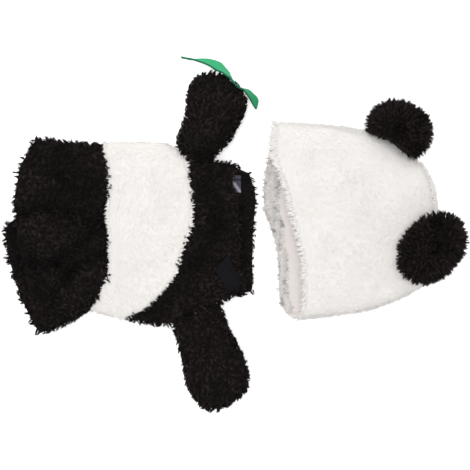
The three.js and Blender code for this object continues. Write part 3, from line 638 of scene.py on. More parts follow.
def thread(line, side, width, shade, tone, up, soft):
    """Tubes of three sides round lines, each thinning to a point: at each ring the corners lie round
    the line at the radius, which falls slowly at first. Returns points, faces, and for each point
    its strand's shade and its tone, which carries painted shade, how far along the strand it is, its
    place on the map of strands and the direction that it takes its light from."""
    count, rings = len(line), line.shape[1] - 1
    line = above_floor(line)
    tangent = unit(np.gradient(line, axis=1))
    side = unit(side[:, None] - (side[:, None] * tangent).sum(-1, keepdims=True) * tangent)
    other = np.cross(tangent, side)
    steps = np.linspace(0, 1, rings + 1)
    radius = (width[:, None] / 2 * (1 - 0.55 * steps**2))[:, :-1, None, None]
    turn = (np.arange(3) * 2 * np.pi / 3 + 0.5)[None, None, :, None]
    spoke = np.cos(turn) * side[:, :-1, None] + np.sin(turn) * other[:, :-1, None]
    ring = line[:, :-1, None] + radius * spoke
    points = np.concatenate([ring.reshape(count, -1, 3), line[:, -1:]], axis=1)
    facing = np.concatenate([spoke.reshape(count, -1, 3), tangent[:, -1:]], axis=1)
    facing = unit(soft * up[:, None] + (1 - soft) * facing)
    number = np.arange(rings * 3).reshape(rings, 3)
    looped = np.concatenate([number, number[:, :1]], axis=1)
    tip = rings * 3
    faces = [triangles(strip_faces(looped, flip=True))]
    faces.append(np.stack([looped[-1, :-1], looped[-1, 1:], np.full(3, tip)], -1))
    faces.append(np.array([[0, 2, 1]]))
    faces = np.concatenate(faces)
    _, faces = outward(points[0], faces)
    per = points.shape[1]
    every = (faces[None] + (np.arange(count) * per)[:, None, None]).reshape(-1, 3)
    place = np.concatenate([np.repeat(steps[:-1], 3), [1.0]])
    cells = int(np.ceil(np.sqrt(count)))
    cell = np.stack([np.arange(count) % cells, np.arange(count) // cells], -1)[:, None]
    over = np.concatenate([np.tile([0.2, 0.5, 0.8], rings), [0.5]])
    lift = np.concatenate([np.tile([0.0, 0.12, 0.0], rings), [0.0]])
    within = np.stack([over, 0.1 + 0.7 * place + lift], -1)
    return {
        "points": points.reshape(-1, 3),
        "faces": every,
        "shade": np.repeat(shade, per),
        "tone": np.repeat(tone, per),
        "along": np.tile(place, count),
        "map": ((cell + within[None]) / cells).reshape(-1, 2),
        "facing": facing.reshape(-1, 3),
    }


# Numbers that a strand's points carry into its material. The tone carries painted shade.
FIELDS = ("shade", "tone", "along")


def joined(*parts):
    """Several sets of strands as one, each with its own band of the map."""
    starts = np.cumsum([0] + [len(part["points"]) for part in parts])
    out = {key: np.concatenate([part[key] for part in parts]) for key in ("points", *FIELDS, "facing")}
    out["faces"] = np.concatenate([part["faces"] + start for part, start in zip(parts, starts)])
    bands = [part["map"] * [1, 1 / len(parts)] + [0, k / len(parts)] for k, part in enumerate(parts)]
    out["map"] = np.concatenate(bands)
    return out


def build(name, points, faces, material, slot, replaced=(), fields=None):
    """Puts whole arrays of points and faces into a mesh, in metres, and makes a piece of it. Pile
    also has its fields, its map and the directions that it takes its light from."""
    mesh = bpy.data.meshes.new(name)
    mesh.vertices.add(len(points))
    mesh.vertices.foreach_set("co", ((points - MIDDLE) * MM).astype(np.float32).ravel())
    mesh.loops.add(faces.size)
    mesh.loops.foreach_set("vertex_index", np.ascontiguousarray(faces, np.int32).ravel())
    mesh.polygons.add(len(faces))
    mesh.polygons.foreach_set("loop_start", np.arange(0, faces.size, faces.shape[1], dtype=np.int32))
    mesh.update(calc_edges=True)
    mesh.validate()
    fields = fields or {}
    for key in FIELDS:
        if key in fields:
            layer = mesh.attributes.new(key, "FLOAT", "POINT")
            layer.data.foreach_set("value", fields[key].astype(np.float32))
    if "map" in fields:
        layer = mesh.uv_layers.new(name="OFBake")
        layer.uv.foreach_set("vector", fields["map"][faces.ravel()].astype(np.float32).ravel())
    mesh.shade_smooth()
    if "facing" in fields:
        mesh.normals_split_custom_set_from_vertices(fields["facing"])
    piece = bpy.data.objects.new(name, mesh)
    bpy.context.scene.collection.objects.link(piece)
    mesh.materials.append(material)
    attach(piece, "root")
    if replaced:
        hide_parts(*replaced)
    return piece


def build_pile(name, parts, material, slot):
    """Makes one piece of several sets of strands."""
    pile = joined(*parts)
    return build(name, pile["points"], pile["faces"], material, slot, fields=pile)


class Signal:
    """A socket in a material. Arithmetic on it adds Math nodes."""

    def __init__(self, look, socket):
        self.look, self.socket = look, socket

    def math(self, operation, *others):
        values = {k: other for k, other in enumerate((self, *others))}
        return self.look.node("ShaderNodeMath", {"operation": operation}, values)

    def __add__(self, other):
        return self.math("ADD", other)

    def __sub__(self, other):
        return self.math("SUBTRACT", other)

    def __mul__(self, other):
        return self.math("MULTIPLY", other)

    def __truediv__(self, other):
        return self.math("DIVIDE", other)

    def __pow__(self, other):
        return self.math("POWER", other)

    def __radd__(self, other):
        return self.math("ADD", other)

    def __rmul__(self, other):
        return self.math("MULTIPLY", other)

    def __rsub__(self, other):
        return self.look.node("ShaderNodeMath", {"operation": "SUBTRACT"}, {0: other, 1: self})

    def clamp(self):
        return self.look.node("ShaderNodeClamp", {}, {0: self})


class Look:
    """A material: one Principled shader, and the nodes that feed it."""

    def __init__(self, name, **constants):
        self.material = bpy.data.materials.new(name)
        self.material.use_nodes = True
        self.tree = self.material.node_tree
        self.shader = self.tree.nodes["Principled BSDF"]
        for key, value in constants.items():
            socket = key.replace("_", " ").title().replace("Ior", "IOR")
            self.shader.inputs[socket].default_value = value

    def node(self, kind, options, values, output=0):
        """A node of a kind: its options are set first, and then its sockets get values or links."""
        made = self.tree.nodes.new(kind)
        for key, value in options.items():
            setattr(made, key, value)
        for key, value in values.items():
            if isinstance(value, Signal):
                self.tree.links.new(value.socket, made.inputs[key])
            else:
                made.inputs[key].default_value = value
        return Signal(self, made.outputs[output])

    def feed(self, key, value):
        self.tree.links.new(value.socket, self.shader.inputs[key])

    def field(self, name):
        return self.node("ShaderNodeAttribute", {"attribute_name": name}, {}, "Fac")

    def place(self):
        return self.node("ShaderNodeTexCoord", {}, {}, "Object")

    def noise(self, scale, detail=2.0, place=None):
        values = {"Vector": place or self.place(), "Scale": scale, "Detail": detail}
        return self.node("ShaderNodeTexNoise", {}, values, "Fac")

    def mix(self, factor, one, two):
        values = {0: factor, 6: colour(one), 7: colour(two)}
        return self.node("ShaderNodeMix", {"data_type": "RGBA"}, values, 2)

    def past(self, a, b):
        """Millimetres from a line through two points in plan, above 0 on its left."""
        way = unit(np.subtract(b, a))
        left = np.array([-way[1], way[0], 0.0])
        start = ((np.array([*a, 0.0]) - MIDDLE) * left).sum()
        values = {0: self.place(), 1: tuple(left / MM)}
        return self.node("ShaderNodeVectorMath", {"operation": "DOT_PRODUCT"}, values, "Value") - start

    def stripe(self, a, b, half):
        """1 on a line in plan, falling to 0 at half its width."""
        return (1 - self.past(a, b).math("ABSOLUTE") / half).clamp()

    def bump(self, height, strength, distance):
        values = {"Strength": strength, "Distance": distance, "Height": height}
        self.feed("Normal", self.node("ShaderNodeBump", {}, values))


def colour(value):
    """A colour with its alpha, or a signal as it is."""
    return value if isinstance(value, Signal) else (*value[:3], 1.0)


def pile_look(name, root, tip, bright, roughness, gloss):
    """Pile: darker at its roots, as painted shade, brighter at its tips, with bright flecks as painted
    highlights, and each strand a little different. A low tone paints it darker still, as shade.
    """
    look = Look(name, roughness=roughness, specular_ior_level=gloss)
    along, shade, tone = look.field("along"), look.field("shade"), look.field("tone")
    body = look.mix((along**1.3).clamp(), root, tip)
    painted_highlight = look.mix((shade * 1.2 - 0.35).clamp() * along, body, bright)
    # Painted shade: where the tone is low, the pile is painted darker, down to under its root colour.
    look.feed("Base Color", look.mix(tone.clamp(), root * 0.3, painted_highlight))
    return look.material


def cloth_look(name, main, dark, roughness, scale):
    """Knitted ground: fine ribs one way, with small uneven patches."""
    look = Look(name, roughness=roughness, specular_ior_level=0.1)
    place = look.place()
    values = {"Vector": place, "Scale": scale, "Distortion": 1.5}
    ribs = look.node("ShaderNodeTexWave", {"bands_direction": "X"}, values)
    patches = look.noise(90.0, 3.0, place)
    look.feed("Base Color", look.mix((patches * 0.7 + ribs * 0.3).clamp(), dark, main))
    look.bump(ribs, 0.3, 0.0004)
    return look.material


class CostumeSettings(PropertyGroup):
    """The sizes and colours that a user would change."""

    black_pile: FloatProperty(
        name="Black pile length", description="Length of the curly black pile",
        default=0.007, min=0.003, max=0.012, subtype="DISTANCE", unit="LENGTH",
    )
    white_pile: FloatProperty(
        name="White pile length", description="Length of the smooth white pile",
        default=0.0036, min=0.002, max=0.009, subtype="DISTANCE", unit="LENGTH",
    )
    curl: FloatProperty(
        name="Curl", description="How far a black lock swings round its line",
        default=0.0009, min=0.0, max=0.002, subtype="DISTANCE", unit="LENGTH",
    )
    black: FloatVectorProperty(
        name="Black plush", description="Colour of the black pile",
        default=(0.0091, 0.0067, 0.0063), min=0.0, max=1.0, subtype="COLOR",
    )
    white: FloatVectorProperty(
        name="White plush", description="Colour of the white pile",
        default=(0.85, 0.825, 0.80), min=0.0, max=1.0, subtype="COLOR",
    )
    green: FloatVectorProperty(
        name="Felt", description="Colour of the leaf",
        default=(0.030, 0.36, 0.155), min=0.0, max=1.0, subtype="COLOR",
    )


def settings(context):
    """The costume's settings, which the scene keeps."""
    return context.scene.costume_settings


def in_millimetres(size):
    """A setting's size, which is in metres."""
    return round(size / MM, 4)


def black_look(context):
    """Curly teddy pile, in loose locks."""
    own = settings(context)
    return {
        "spacing": 2.75, "strands": 5, "radius": 1.7, "gather": 0.62, "rings": 3, "width": 0.95,
        "length": in_millimetres(own.black_pile), "side_short": 0.35, "first_lean": 0.15, "last_lean": 1.45,
        "curl": in_millimetres(own.curl), "turns": 0.9, "patch": 22.0, "wander": 0.35, "scatter": 0.55,
        # The last numbers: how the light is taken, how much shade is painted in folds and along the painted
        # shade lines, and how much the tone wanders at random.
        "rise": 0.0, "soft": 0.5, "fold_painted_shade": 0.16, "line_painted_shade": 2.7, "patch_tone": 0.13,
    }


def white_look(context):
    """Short smooth pile, strand by strand."""
    return {
        "spacing": 1.25, "strands": 1, "radius": 0.4, "gather": 0.0, "rings": 2, "width": 0.36,
        "length": in_millimetres(settings(context).white_pile), "side_short": 0.0, "first_lean": 0.5,
        "last_lean": 1.3, "curl": 0.2, "turns": 0.4, "patch": 30.0, "wander": 0.2, "scatter": 0.22,
        # The last numbers: how the light is taken, how much shade is painted in folds and along the painted
        # shade lines, and how much the tone wanders at random.
        "rise": 0.8, "soft": 0.88, "fold_painted_shade": 0.012, "line_painted_shade": 0.15, "patch_tone": 0.01,
    }


def tufts(look, length):
    """The same pile as pointed tufts, for an edge."""
    return {
        **look, "spacing": 1.7, "strands": 5, "radius": 0.8, "gather": 0.6, "width": 0.42, "length": length,
        "first_lean": 0.7, "last_lean": 1.45, "curl": 0.3, "scatter": 0.3,
    }


def sparse(look, spacing, strands, width):
    """The same pile with fewer, wider strands, for where it is pressed out of sight."""
    return {
        **look, "spacing": spacing, "strands": strands, "radius": spacing * 0.6, "rings": 2, "width": width,
        "rise": 0.0, "soft": 0.1,
    }


def sparse_white(look, spacing, width):
    """Sparse pile that still looks smooth, for the white undersides."""
    return {**sparse(look, spacing, 3, width), "rise": 1.3, "soft": 0.6}


def plush_materials(context, name):
    """A plush's ground and its pile, made once."""
    names = (name + "_ground", name + "_pile")
    if names[0] not in bpy.data.materials:
        base, share = np.array(getattr(settings(context), name)), PLUSH_TONES[name]
        cloth_look(names[0], base * share["main"], base * share["dark"], GROUND_ROUGHNESS, GROUND_RIBS)
        tones = (base * share["root"], base, base * share["bright"])
        pile_look(names[1], *tones, share["roughness"], share["gloss"])
    return [bpy.data.materials[each] for each in names]


def grow_flat(points, dice, look, flow, edge=(0.0, 0.0), keep=None, side=1):
    """Pile on a grid of points that faces up, or down where the side is -1."""
    return grow(Ground(points, np.zeros_like(points) + [0, 0, side]), dice, look, flow, edge, keep)


def grow_around(around, dice, looks, flow, edges):
    """Pile all round a tube: one look on its upper half, and another on the half that it lies on."""
    half = around.shape[1] // 2
    middle = around.mean(axis=1, keepdims=True)
    parts = []
    for points, look, edge in zip((around[:, : half + 1], around[:, half:]), looks, edges):
        parts.append(grow(Ground(points, points - middle), dice, look, flow, edge))
    return parts


def strip_between_legs():
    """A strip over the seam between the legs: it rises in a straight line along X, and falls to either
    side by the square of the way across."""
    x, over = grid(24, 7, (-197.0, -4.0), (-119.0, 4.0))
    z = 13 + 8 * (x + 197) / 78 - 0.12 * over**2
    return np.stack(np.broadcast_arrays(x, between_legs(x) + over, z), -1)


def leg_pieces(context, name, back, seed):
    """One leg: a tube of cloth, its pile all round, and the pile that turns in over its hem."""
    dice = np.random.default_rng(SEED + seed)
    pile = black_look(context)
    ground, fur = plush_materials(context, "black")
    insets = (BLACK["depth"], BLACK["wall"])
    outer, inner = (tube_grid(name, back, inset, *LEG_CLOTH_GRID)[:, :-1] for inset in insets)
    piece = build(name + "_cloth", *shell(outer, inner, True), ground, "black_plush", (name,))
    around = tube_grid(name, back, BLACK["depth"], *LEG_PILE_GRID)
    looks = (pile, sparse(pile, 4.3, 3, 1.5))
    parts = grow_around(around, dice, looks, (-0.35, -0.1, 0.0), ((0.6, 0.7), (0.9, 0.3)))
    rim = panel_grid(back, -1, BLACK["wall"], 10, 61, 0.0, 0.12)[:, 3:-3]
    parts.append(grow_flat(rim, dice, pile, (-0.6, 0.0, 0.0), (0.9, 0.0)))
    if name == "leg_left":
        close = {**pile, "spacing": 1.8}
        parts.append(grow_flat(strip_between_legs(), dice, close, (-0.1, 0.2, 0.0)))
    build_pile(name + "_pile", parts, fur, "black_plush")


class COSTUME_OT_legs(Operator):
    """The two short legs, each a tube of black plush"""

    bl_idname = "costume.legs"
    bl_label = "Legs"

    def execute(self, context):
        leg_pieces(context, "leg_right", "leg_right", 1)
        leg_pieces(context, "leg_left", "leg_left_back", 2)
        return {"FINISHED"}


def panel_pieces(name, material, look, seed, edge, flow):
    """One panel of the body or the hat: builds its cloth, and returns the pile on its outside."""
    side, plush = 1 if name.endswith("front") else -1, PANELS[name]["plush"]
    insets = (plush["depth"], plush["wall"])
    outer, inner = (panel_grid(name, side, inset, *PANEL_CLOTH_GRID) for inset in insets)
    piece = build(name + "_cloth", *shell(outer, inner, False), material, plush["slot"], (name,))
    points = panel_grid(name, side, plush["depth"], *PANEL_PILE_GRID)
    return grow_flat(points, np.random.default_rng(SEED + seed), look, flow, edge, side=side)


def edge_tufts(panel, look, start, end, seed, flow, columns=slice(None)):
    """Pointed tufts on a narrow band of a white front panel: between two shares of its length, or
    over some of the columns from side to side."""
    points = panel_grid(panel, 1, WHITE["depth"], 12, 91, start, end)[:, columns]
    return grow_flat(points, np.random.default_rng(SEED + seed), look, flow)


class COSTUME_OT_belly(Operator):
    """The white panels of the belly, front and back"""

    bl_idname = "costume.belly"
    bl_label = "Belly"

    def execute(self, context):
        pile, flow, flat = white_look(context), (-0.25, -0.45, 0), (0.175, 0.07)
        ground, fur = plush_materials(context, "white")
        front = panel_pieces("belly_front", ground, pile, 11, (0, 0), flow)
        fine = {**tufts(pile, 4.4), "spacing": 1.5, "width": 0.36}
        short = {**fine, "length": 3.2}
        chest_edge = edge_tufts("belly_front", fine, 0.95, 0.995, 13, (1.2, 0.1, 0))
        waist_edge = edge_tufts("belly_front", short, 0.005, 0.045, 14, (-1.2, -0.1, 0))
        build_pile("belly_front_pile", [front, chest_edge, waist_edge], fur, "white_plush")
        back = panel_pieces("belly_back", ground, sparse_white(pile, 3.8, 1.2), 12, (0, 0), flow)
        build_pile("belly_back_pile", [back], fur, "white_plush")
        return {"FINISHED"}


class COSTUME_OT_chest(Operator):
    """The black panels of the chest, front and back, up to the neck"""

    bl_idname = "costume.chest"
    bl_label = "Chest"

    def execute(self, context):
        pile, flow, flat = black_look(context), (0.3, -0.1, 0), (0.145, 0.065)
        ground, fur = plush_materials(context, "black")
        front = panel_pieces("chest_front", ground, pile, 21, (-0.1, 1.6), flow)
        corners = np.array(LOOP_TAPE["corners"], float)
        covered = corners.mean(axis=0) + (corners - corners.mean(axis=0)) * TAPE_BARE_SHARE
        front = keep_strands(front, ~inside(strand_necks(front), covered))
        build_pile("chest_front_pile", [front], fur, "black_plush")
        back = panel_pieces("chest_back", ground, sparse(pile, 4.3, 3, 1.5), 22, (0.3, 0.9), flow)
        dice = np.random.default_rng(SEED + 23)
        rim = panel_grid("chest_back", -1, BLACK["wall"], 12, 61, 0.76, 1.0)[:, 5:-5]
        short = {**pile, "length": pile["length"] * 0.6}

        def beside_tape(tip):
            return ~inside(tip, BARE_IN_NECK)

        turned = grow_flat(rim, dice, short, (0.7, 0.0, 0.0), (0.0, 0.9), beside_tape)
        build_pile("chest_back_pile", [back, turned], fur, "black_plush")
        return {"FINISHED"}


def inside(points, outline):
    """Whether points lie inside a convex outline in plan: on the same side of all its edges."""
    sides = []
    for a, b in zip(outline, np.roll(outline, -1, axis=0)):
        sides.append((b[0] - a[0]) * (points[:, 1] - a[1]) - (b[1] - a[1]) * (points[:, 0] - a[0]))
    sides = np.array(sides)
    return (sides > 0).all(0) | (sides < 0).all(0)


def strand_size(pile):
    """Points and faces in one strand, from how often the last point of a strand comes."""
    ends = int((pile["along"] == 1.0).sum())
    return len(pile["points"]) // ends, len(pile["faces"]) // ends


def strand_necks(pile):
    """A point two thirds along each strand."""
    size, _ = strand_size(pile)
    return pile["points"].reshape(-1, size, 3)[:, 2 * size // 3]


def keep_strands(pile, kept):
    """Only the strands that are kept, with their faces numbered afresh."""
    size, faces = strand_size(pile)
    number = np.cumsum(kept) - 1
    shift = (number - np.arange(len(kept))) * size
    out = {"faces": (pile["faces"].reshape(-1, faces, 3) + shift[:, None, None])[kept].reshape(-1, 3)}
    for key in ("points", *FIELDS, "map", "facing"):
        out[key] = pile[key].reshape(len(kept), size, -1)[kept].reshape(-1, *pile[key].shape[1:])
    return out


def clear_of_leaf(pile):
    """Which strands have no point over the leaf: within half the width that shows, above its upper
    edge."""
    step = np.linspace(0, LEAF_ROWS["step"][-1], 73)
    x, y, z, width, lean = leaf_line(step)
    half = width / 2 * np.sin(lean) + LEAF_THICKNESS / 2
    upper_edge = z + width / 2 * np.cos(lean)
    points = pile["points"]
    near = np.hypot(points[:, :1] - x, points[:, 1:2] - y) < half
    over = (near & (points[:, 2:] > upper_edge - 1)).any(axis=1)
    return ~over.reshape(-1, strand_size(pile)[0]).any(axis=1)


class COSTUME_OT_arms(Operator):
    """The two stuffed arms, sewn to the sides of the chest"""

    bl_idname = "costume.arms"
    bl_label = "Arms"

    def execute(self, context):
        pile = black_look(context)
        short = {**pile, "length": pile["length"] * 0.9, "side_short": 0.15}
        looks, edges = (short, sparse(short, 3.9, 4, 1.4)), ((0.0, 0.2), (0.0, 0.2))
        ground, fur = plush_materials(context, "black")
        for name, rows, seed in (("arm_right", ARM_RIGHT_ROWS, 31), ("arm_left", ARM_LEFT_ROWS, 32)):
            dice = np.random.default_rng(SEED + seed)
            cloth = closed_rings(arm_grid(rows, BLACK["depth"], *ARM_CLOTH_GRID)[:, :-1])
            piece = build(name + "_cloth", *cloth, ground, "black_plush", (name,))
            around = arm_grid(rows, BLACK["depth"], *ARM_PILE_GRID)
            flow = (0.1, 0.45 * np.sign(rows["y"][-1]), 0.0)
            parts = grow_around(around, dice, looks, flow, edges)
            parts = [keep_strands(part, clear_of_leaf(part)) for part in parts]
            build_pile(name + "_pile", parts, fur, "black_plush")
        return {"FINISHED"}


def hat_rim(pile):
    """The pile that shows inside the hat's mouth, and grey tufts under the front layer's edge that stand
    for the shadow between its tufts. Both get a material painted greyer, as the shade under the front
    layer.
    """
    dice = np.random.default_rng(SEED + 43)
    rim = panel_grid("hat_back", -1, WHITE["wall"], 16, 61, 0.0, 0.1)[:, 4:-4]
    short = {
        **tufts(pile, 4.2), "patch": 6.0, "patch_tone": 0.3, "wander": 0.5, "scatter": 0.5, "gather": 0.4,
    }

    def turned_in(tip):
        deep = 7 + 6 / (1 + np.exp((3 - tip[:, 1]) / 3))
        return (tip[:, 1] < 84) & (tip[:, 0] < EDGE["mouth_back"](tip[:, 1]) + deep)

    turned = grow_flat(rim, dice, short, (-0.5, -0.1, 0.0), (0.3, 0.0), turned_in)
    below = panel_grid("hat_front", 1, WHITE["wall"] - 1, 12, 91, 0.0, 0.02)[:, 5:-5]
    # Painted shadow: grey tufts under the front layer's edge.
    shadow = {**tufts(pile, 6.0), "spacing": 2.0, "scatter": 0.5, "gather": 0.3, "rise": 0.0}
    return [turned, grow_flat(below, dice, shadow, (-1.3, -0.3, 0.0))]


class COSTUME_OT_hat(Operator):
    """The hat: its front and back, and the pile that turns in at its mouth"""

    bl_idname = "costume.hat"
    bl_label = "Hat"

    def execute(self, context):
        pile, flow, flat = white_look(context), (-0.4, -0.2, 0), (0.18, 0.145)
        ground, fur = plush_materials(context, "white")
        front = panel_pieces("hat_front", ground, pile, 41, (0.6, 3.2), flow)
        build_pile("hat_front_pile", [front], fur, "white_plush")
        fringe = [edge_tufts("hat_front", tufts(pile, length), *band) for length, *band in HAT_FRINGE]
        build_pile("hat_fringe_pile", fringe, fur, "white_plush")
        base = np.array(settings(context).white)
        main, dark = base * [0.86, 0.83, 0.83], base * [0.82, 0.79, 0.79]
        lining = cloth_look("hat_inside", main, dark, GROUND_ROUGHNESS, GROUND_RIBS)
        back = panel_pieces("hat_back", lining, sparse_white(pile, 4.5, 1.3), 42, (0.9, 0.3), flow)
        build_pile("hat_back_pile", [back], fur, "white_plush")
        # The rim's pile is painted greyer, as the shade under the hat's front layer.
        rim_painted_shade = pile_look("rim_pile_painted_shade", base * 0.74, base * 0.82, base * 0.98, 0.85, 0.1)
        build_pile("hat_rim_pile", hat_rim(pile), rim_painted_shade, "white_plush")
        return {"FINISHED"}


class COSTUME_OT_ears(Operator):
    """The two pompom ears of cut yarn"""

    bl_idname = "costume.ears"
    bl_label = "Pompom ears"

    def execute(self, context):
        look = {
            **black_look(context), "spacing": 2.6, "radius": 1.5, "gather": 0.35, "length": 7.5,
            "side_short": 0.0, "first_lean": 0.05, "last_lean": 0.5, "curl": 0.5, "turns": 0.5,
            "wander": 0.2, "scatter": 0.5, "soft": 0.25, "patch_tone": 0.25,
        }
        base = np.array(settings(context).black)
        ground = plush_materials(context, "black")[0]
        # Yarn: painted shade at the roots and painted highlights in bright flecks, as on the plush.
        yarn = pile_look("black_yarn", base * 0.6, base * 1.6, base * 4.5, 0.7, 0.07)
        hat_line = curve(HAT_OVER_EAR, "x", "y")

        def beside_hat(tip):
            return tip[:, 1] > hat_line(tip[:, 0])

        def on_hat(tip):
            return ~((tip[:, 0] < 184) & (tip[:, 2] < front_height(HAT, tip[:, 0], tip[:, 1]) - 2))

        ears = (("ear_right", EAR_RIGHT, 51, beside_hat), ("ear_left", EAR_LEFT, 52, on_hat))
        for name, ear, seed, keep in ears:
            dice = np.random.default_rng(SEED + seed)
            core = above_floor(ellipsoid_grid(ear, EAR_CORE_SHARE, *EAR_CORE_GRID)[1:-1, :-1])
            if name == "ear_right":
                core[..., 1] = np.maximum(core[..., 1], hat_line(core[..., 0]) + 4)
            piece = build(name + "_core", *closed_rings(core), ground, "black_yarn", (name,))
            points = ellipsoid_grid(ear, EAR_CORE_SHARE, *EAR_PILE_GRID)[1:-1]
            outside = points - np.array(ear["centre"])
            locks = grow(Ground(points, outside), dice, look, (0, 0, 0), (0, 0), keep)
            build_pile(name + "_yarn", [locks], yarn, "black_yarn")
        return {"FINISHED"}


def leaf_line(step):
    """Along the leaf: x, y and z of its middle line, its width, and its lean from upright in radians."""
    x, y, z, width, lean = (curve(LEAF_ROWS, "step", key)(step) for key in ("x", "y", "z", "width", "lean"))
    return x, y, z, width, np.radians(lean)


def leaf_sheet(count, columns):
    """The leaf's two faces: a point for each place along its middle line and each place across its
    width, which leans from upright, and half its thickness to either side. Two sines along it, times
    the way across and its square, make its edges wave."""
    at = np.linspace(0, 1, count)
    x, y, z, width, lean = leaf_line(at * LEAF_ROWS["step"][-1])
    spine = np.stack([x, y, z], -1)
    along = unit(np.gradient(spine, axis=0) * [1, 1, 0])
    inward = np.stack([along[:, 1], -along[:, 0], 0 * at], -1)
    tilt = lean[:, None]
    up = inward * np.sin(tilt) + np.array([0, 0, 1.0]) * np.cos(tilt)
    face = np.cross(along, up)
    side = np.linspace(-1, 1, columns)[None, :, None]
    middle = spine[:, None] + side * (width[:, None, None] / 2) * up[:, None]
    long_wave, short_wave = (np.sin(angle)[:, None, None] for angle in (at * 23, at * 41 + 1))
    middle = middle + face[:, None] * (0.35 * long_wave * side**2 + 0.25 * short_wave * side)
    thick = LEAF_THICKNESS / 2
    return middle + face[:, None] * thick, middle - face[:, None] * thick


def felt_look(green):
    """Felt: fibres and blotches, with painted shade towards the leaf's far end, which turns away from the
    light, and along its cut edge.
    """
    look = Look("felt", roughness=0.9, sheen_weight=0.05, specular_ior_level=0.1)
    place = look.place()
    fibres, blotch = look.noise(900.0, 4.0, place), look.noise(160.0, 2.0, place)
    # Painted shade: the leaf's far half is painted darker, as it turns away from the light.
    turned = (look.field("along") * 2.6 - 1.2).clamp()
    base = look.mix(turned, green, green * [0.5, 0.62, 0.55])
    bright = np.minimum(green * [2.0, 1.25, 1.4], 1)
    fuzz = look.mix((fibres * 0.8 + blotch * 0.4 - 0.3).clamp() * 0.4, base, bright)
    look.feed("Base Color", look.mix(look.field("shade"), fuzz, green * [0.5, 0.3, 0.4]))
    look.bump(fibres, 0.5, 0.0006)
    return look.material


class COSTUME_OT_leaf(Operator):
    """The felt leaf on the right paw"""

    bl_idname = "costume.leaf"
    bl_label = "Leaf"

    def execute(self, context):
        count, columns = LEAF_GRID
        points, faces = shell(*leaf_sheet(count, columns), False)
        along = np.tile(np.repeat(np.linspace(0, 1, count), columns), 2)
        # Painted shade along the cut edge on one side of the leaf.
        edge = np.zeros((2, count, columns))
        edge[:, :, -1] = 0.9
        fields = {"along": along, "shade": edge.ravel()}
        felt = felt_look(np.array(settings(context).green))
        piece = build("leaf_felt", points, faces, felt, "green_felt", ("leaf",), fields)
        return {"FINISHED"}


def patch_grids(tape, height, rows, columns):
    """A tape's top and underside: a grid between four corners in plan, lying on a height."""
    a, b, c, d = (np.array(corner, float) for corner in tape["corners"])
    u, v = grid(rows, columns)
    u, v = u[..., None], v[..., None]
    plan = (a * (1 - v) + b * v) * (1 - u) + (d * (1 - v) + c * v) * u
    base = height(plan[..., 0], plan[..., 1]) + tape["gap"]
    top = base + tape["thickness"]
    return (np.concatenate([plan, z[..., None]], -1) for z in (top, base))


def tape_look(name, main, dark, scale, strength, marks):
    """Hook or loop tape: rows of tiny bumps on a woven ground, with stripes of other colours along lines
    in plan: dark stripes, and a painted highlight where the hooks glare."""
    look = Look(name, roughness=0.75, specular_ior_level=0.1)
    place = look.place()
    values = {"Vector": place, "Scale": scale, "Randomness": 0.5}
    rows = look.node("ShaderNodeTexVoronoi", {}, values, "Distance")
    fuzz = look.noise(scale * 1.3, 3.0, place)
    shown = look.mix((rows * 1.2 + fuzz * 0.5 - 0.3).clamp(), main, dark)
    for a, b, half, tint, much in marks:
        shown = look.mix(look.stripe(a, b, half) * much, shown, tint)
    look.feed("Base Color", shown)
    look.bump(rows, strength, 0.0005)
    return look.material


class COSTUME_OT_tapes(Operator):
    """The fastening tapes and the facing at the neck"""

    bl_idname = "costume.tapes"
    bl_label = "Tapes"

    def execute(self, context):
        def on_chest(x, y):
            return front_height(BODY, x, y)

        def in_neck(x, y):
            return inner_back_height(BODY, x, y, BLACK["wall"])

        # Dark stripes along lines in plan: one across the loop tape, one near the hook tape's end.
        loop_dark_stripe = ((-6.9, -29.9), (5.1, -46.9), 1.3, (0.0015, 0.0014, 0.0018), 0.9)
        # Painted highlight: a light stripe of glare across the hook tape.
        hook_painted_glare = ((-2.2, 46.0), (4.9, 35.6), 2.2, (0.42, 0.41, 0.46), 1.0)
        hook_dark_stripe = ((-3.0, 48.6), (6.0, 48.2), 0.9, (0.006, 0.005, 0.016), 1.0)
        charcoal, soot = (0.0054, 0.0048, 0.0064), (0.0026, 0.0023, 0.0032)
        grey, slate = (0.115, 0.107, 0.144), (0.035, 0.032, 0.05)
        loop = tape_look("loop_tape", charcoal, soot, 1400.0, 0.6, (loop_dark_stripe,))
        hook = tape_look("hook_tape", grey, slate, 1000.0, 0.8, (hook_painted_glare, hook_dark_stripe))
        lining = cloth_look("dark_lining", (0.004, 0.0036, 0.0046), (0.002, 0.0018, 0.0024), 0.7, 900.0)
        jobs = (
            ("loop_tape", LOOP_TAPE, on_chest, loop, "loop_tape", (0.0275, 0.0175), 0.00042),
            ("hook_tape", HOOK_TAPE, in_neck, hook, "hook_tape", (0.0155, 0.0115), None),
            ("neck_facing", FACING, in_neck, lining, "dark_lining", (0.0155, 0.01), 0.000086),
        )
        for name, tape, height, material, slot, flat, area in jobs:
            top, base = patch_grids(tape, height, *TAPE_GRID)
            piece = build(name + "_cloth", *shell(top, base, False), material, slot, (name,))
        return {"FINISHED"}


def put(scene, name, data, location=(0.0, 0.0, 0.0), turn=(0.0, 0.0, 0.0)):
    """Puts a lamp or the camera in the scene."""
    made = bpy.data.objects.new(name, data)
    made.location, made.rotation_euler = location, turn
    scene.collection.objects.link(made)
    return made


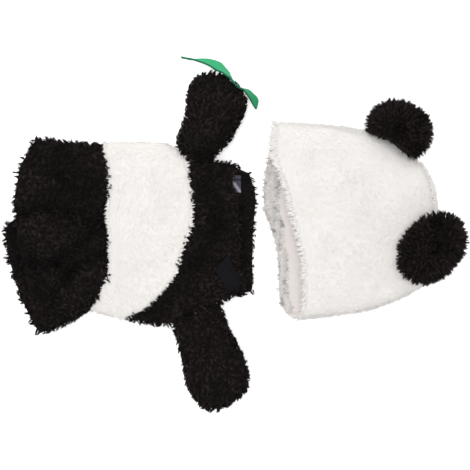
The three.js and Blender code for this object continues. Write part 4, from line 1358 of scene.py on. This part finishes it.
class COSTUME_OT_stage(Operator):
    """The pale floor, the soft lights and the camera"""

    bl_idname = "costume.stage"
    bl_label = "Stage"

    def execute(self, context):
        scene = context.scene
        bpy.ops.mesh.primitive_plane_add(size=FLOOR_SIZE, location=(0.0, 0.0, 0.0))
        floor = context.object
        floor.name = "floor"
        paper = Look("floor_paper", roughness=0.9, specular_ior_level=0.1, emission_strength=0.3)
        grain = paper.noise(20.0, 2.0)
        paper.feed("Base Color", paper.mix(grain * 0.3, (0.96, 0.96, 0.96), (0.94, 0.94, 0.94)))
        floor.data.materials.append(paper.material)

        window = bpy.data.lights.new("window", "AREA")
        window.shape, window.size, window.energy = "DISK", 1.4, 9.0
        put(scene, "window", window, (-0.7, 0.75, 1.5), (-0.43, -0.40, 0.0))
        overhead = bpy.data.lights.new("overhead", "SUN")
        overhead.energy, overhead.angle = 1.3, 0.35
        put(scene, "overhead", overhead)
        scene.world = bpy.data.worlds.new("room")
        scene.world.use_nodes = True
        sky = scene.world.node_tree.nodes["Background"].inputs
        sky["Color"].default_value, sky["Strength"].default_value = (1.0, 1.0, 1.0, 1.0), 0.74
        scene.view_settings.view_transform = "Standard"

        camera = bpy.data.cameras.new("camera")
        camera.sensor_width, camera.lens = 36.0, 136.2
        scene.camera = put(scene, "camera", camera, (0.0016, -0.00155, 1.612))
        return {"FINISHED"}


class COSTUME_PT_panel(Panel):
    """Lists the costume's pieces in the sidebar"""

    bl_idname = "COSTUME_PT_panel"
    bl_label = "Costume"
    bl_space_type = "VIEW_3D"
    bl_region_type = "UI"
    bl_category = "Costume"

    def draw(self, context):
        own = settings(context)
        for key in ("black_pile", "white_pile", "curl", "black", "white", "green"):
            self.layout.prop(own, key)
        for operator in OPERATORS:
            self.layout.operator(operator.bl_idname)


OPERATORS = (
    COSTUME_OT_legs,
    COSTUME_OT_belly,
    COSTUME_OT_chest,
    COSTUME_OT_arms,
    COSTUME_OT_hat,
    COSTUME_OT_ears,
    COSTUME_OT_leaf,
    COSTUME_OT_tapes,
    COSTUME_OT_stage,
)
CLASSES = (CostumeSettings, *OPERATORS, COSTUME_PT_panel)


def register():
    for each in CLASSES:
        bpy.utils.register_class(each)
    bpy.types.Scene.costume_settings = PointerProperty(type=CostumeSettings)


def unregister():
    del bpy.types.Scene.costume_settings
    for each in reversed(CLASSES):
        bpy.utils.unregister_class(each)


def main():
    register()
    bpy.ops.costume.stage()
    bpy.ops.costume.legs()
    bpy.ops.costume.belly()
    bpy.ops.costume.chest()
    bpy.ops.costume.arms()
    bpy.ops.costume.hat()
    bpy.ops.costume.ears()
    bpy.ops.costume.leaf()
    bpy.ops.costume.tapes()
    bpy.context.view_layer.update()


if __name__ == "__main__":
    main()
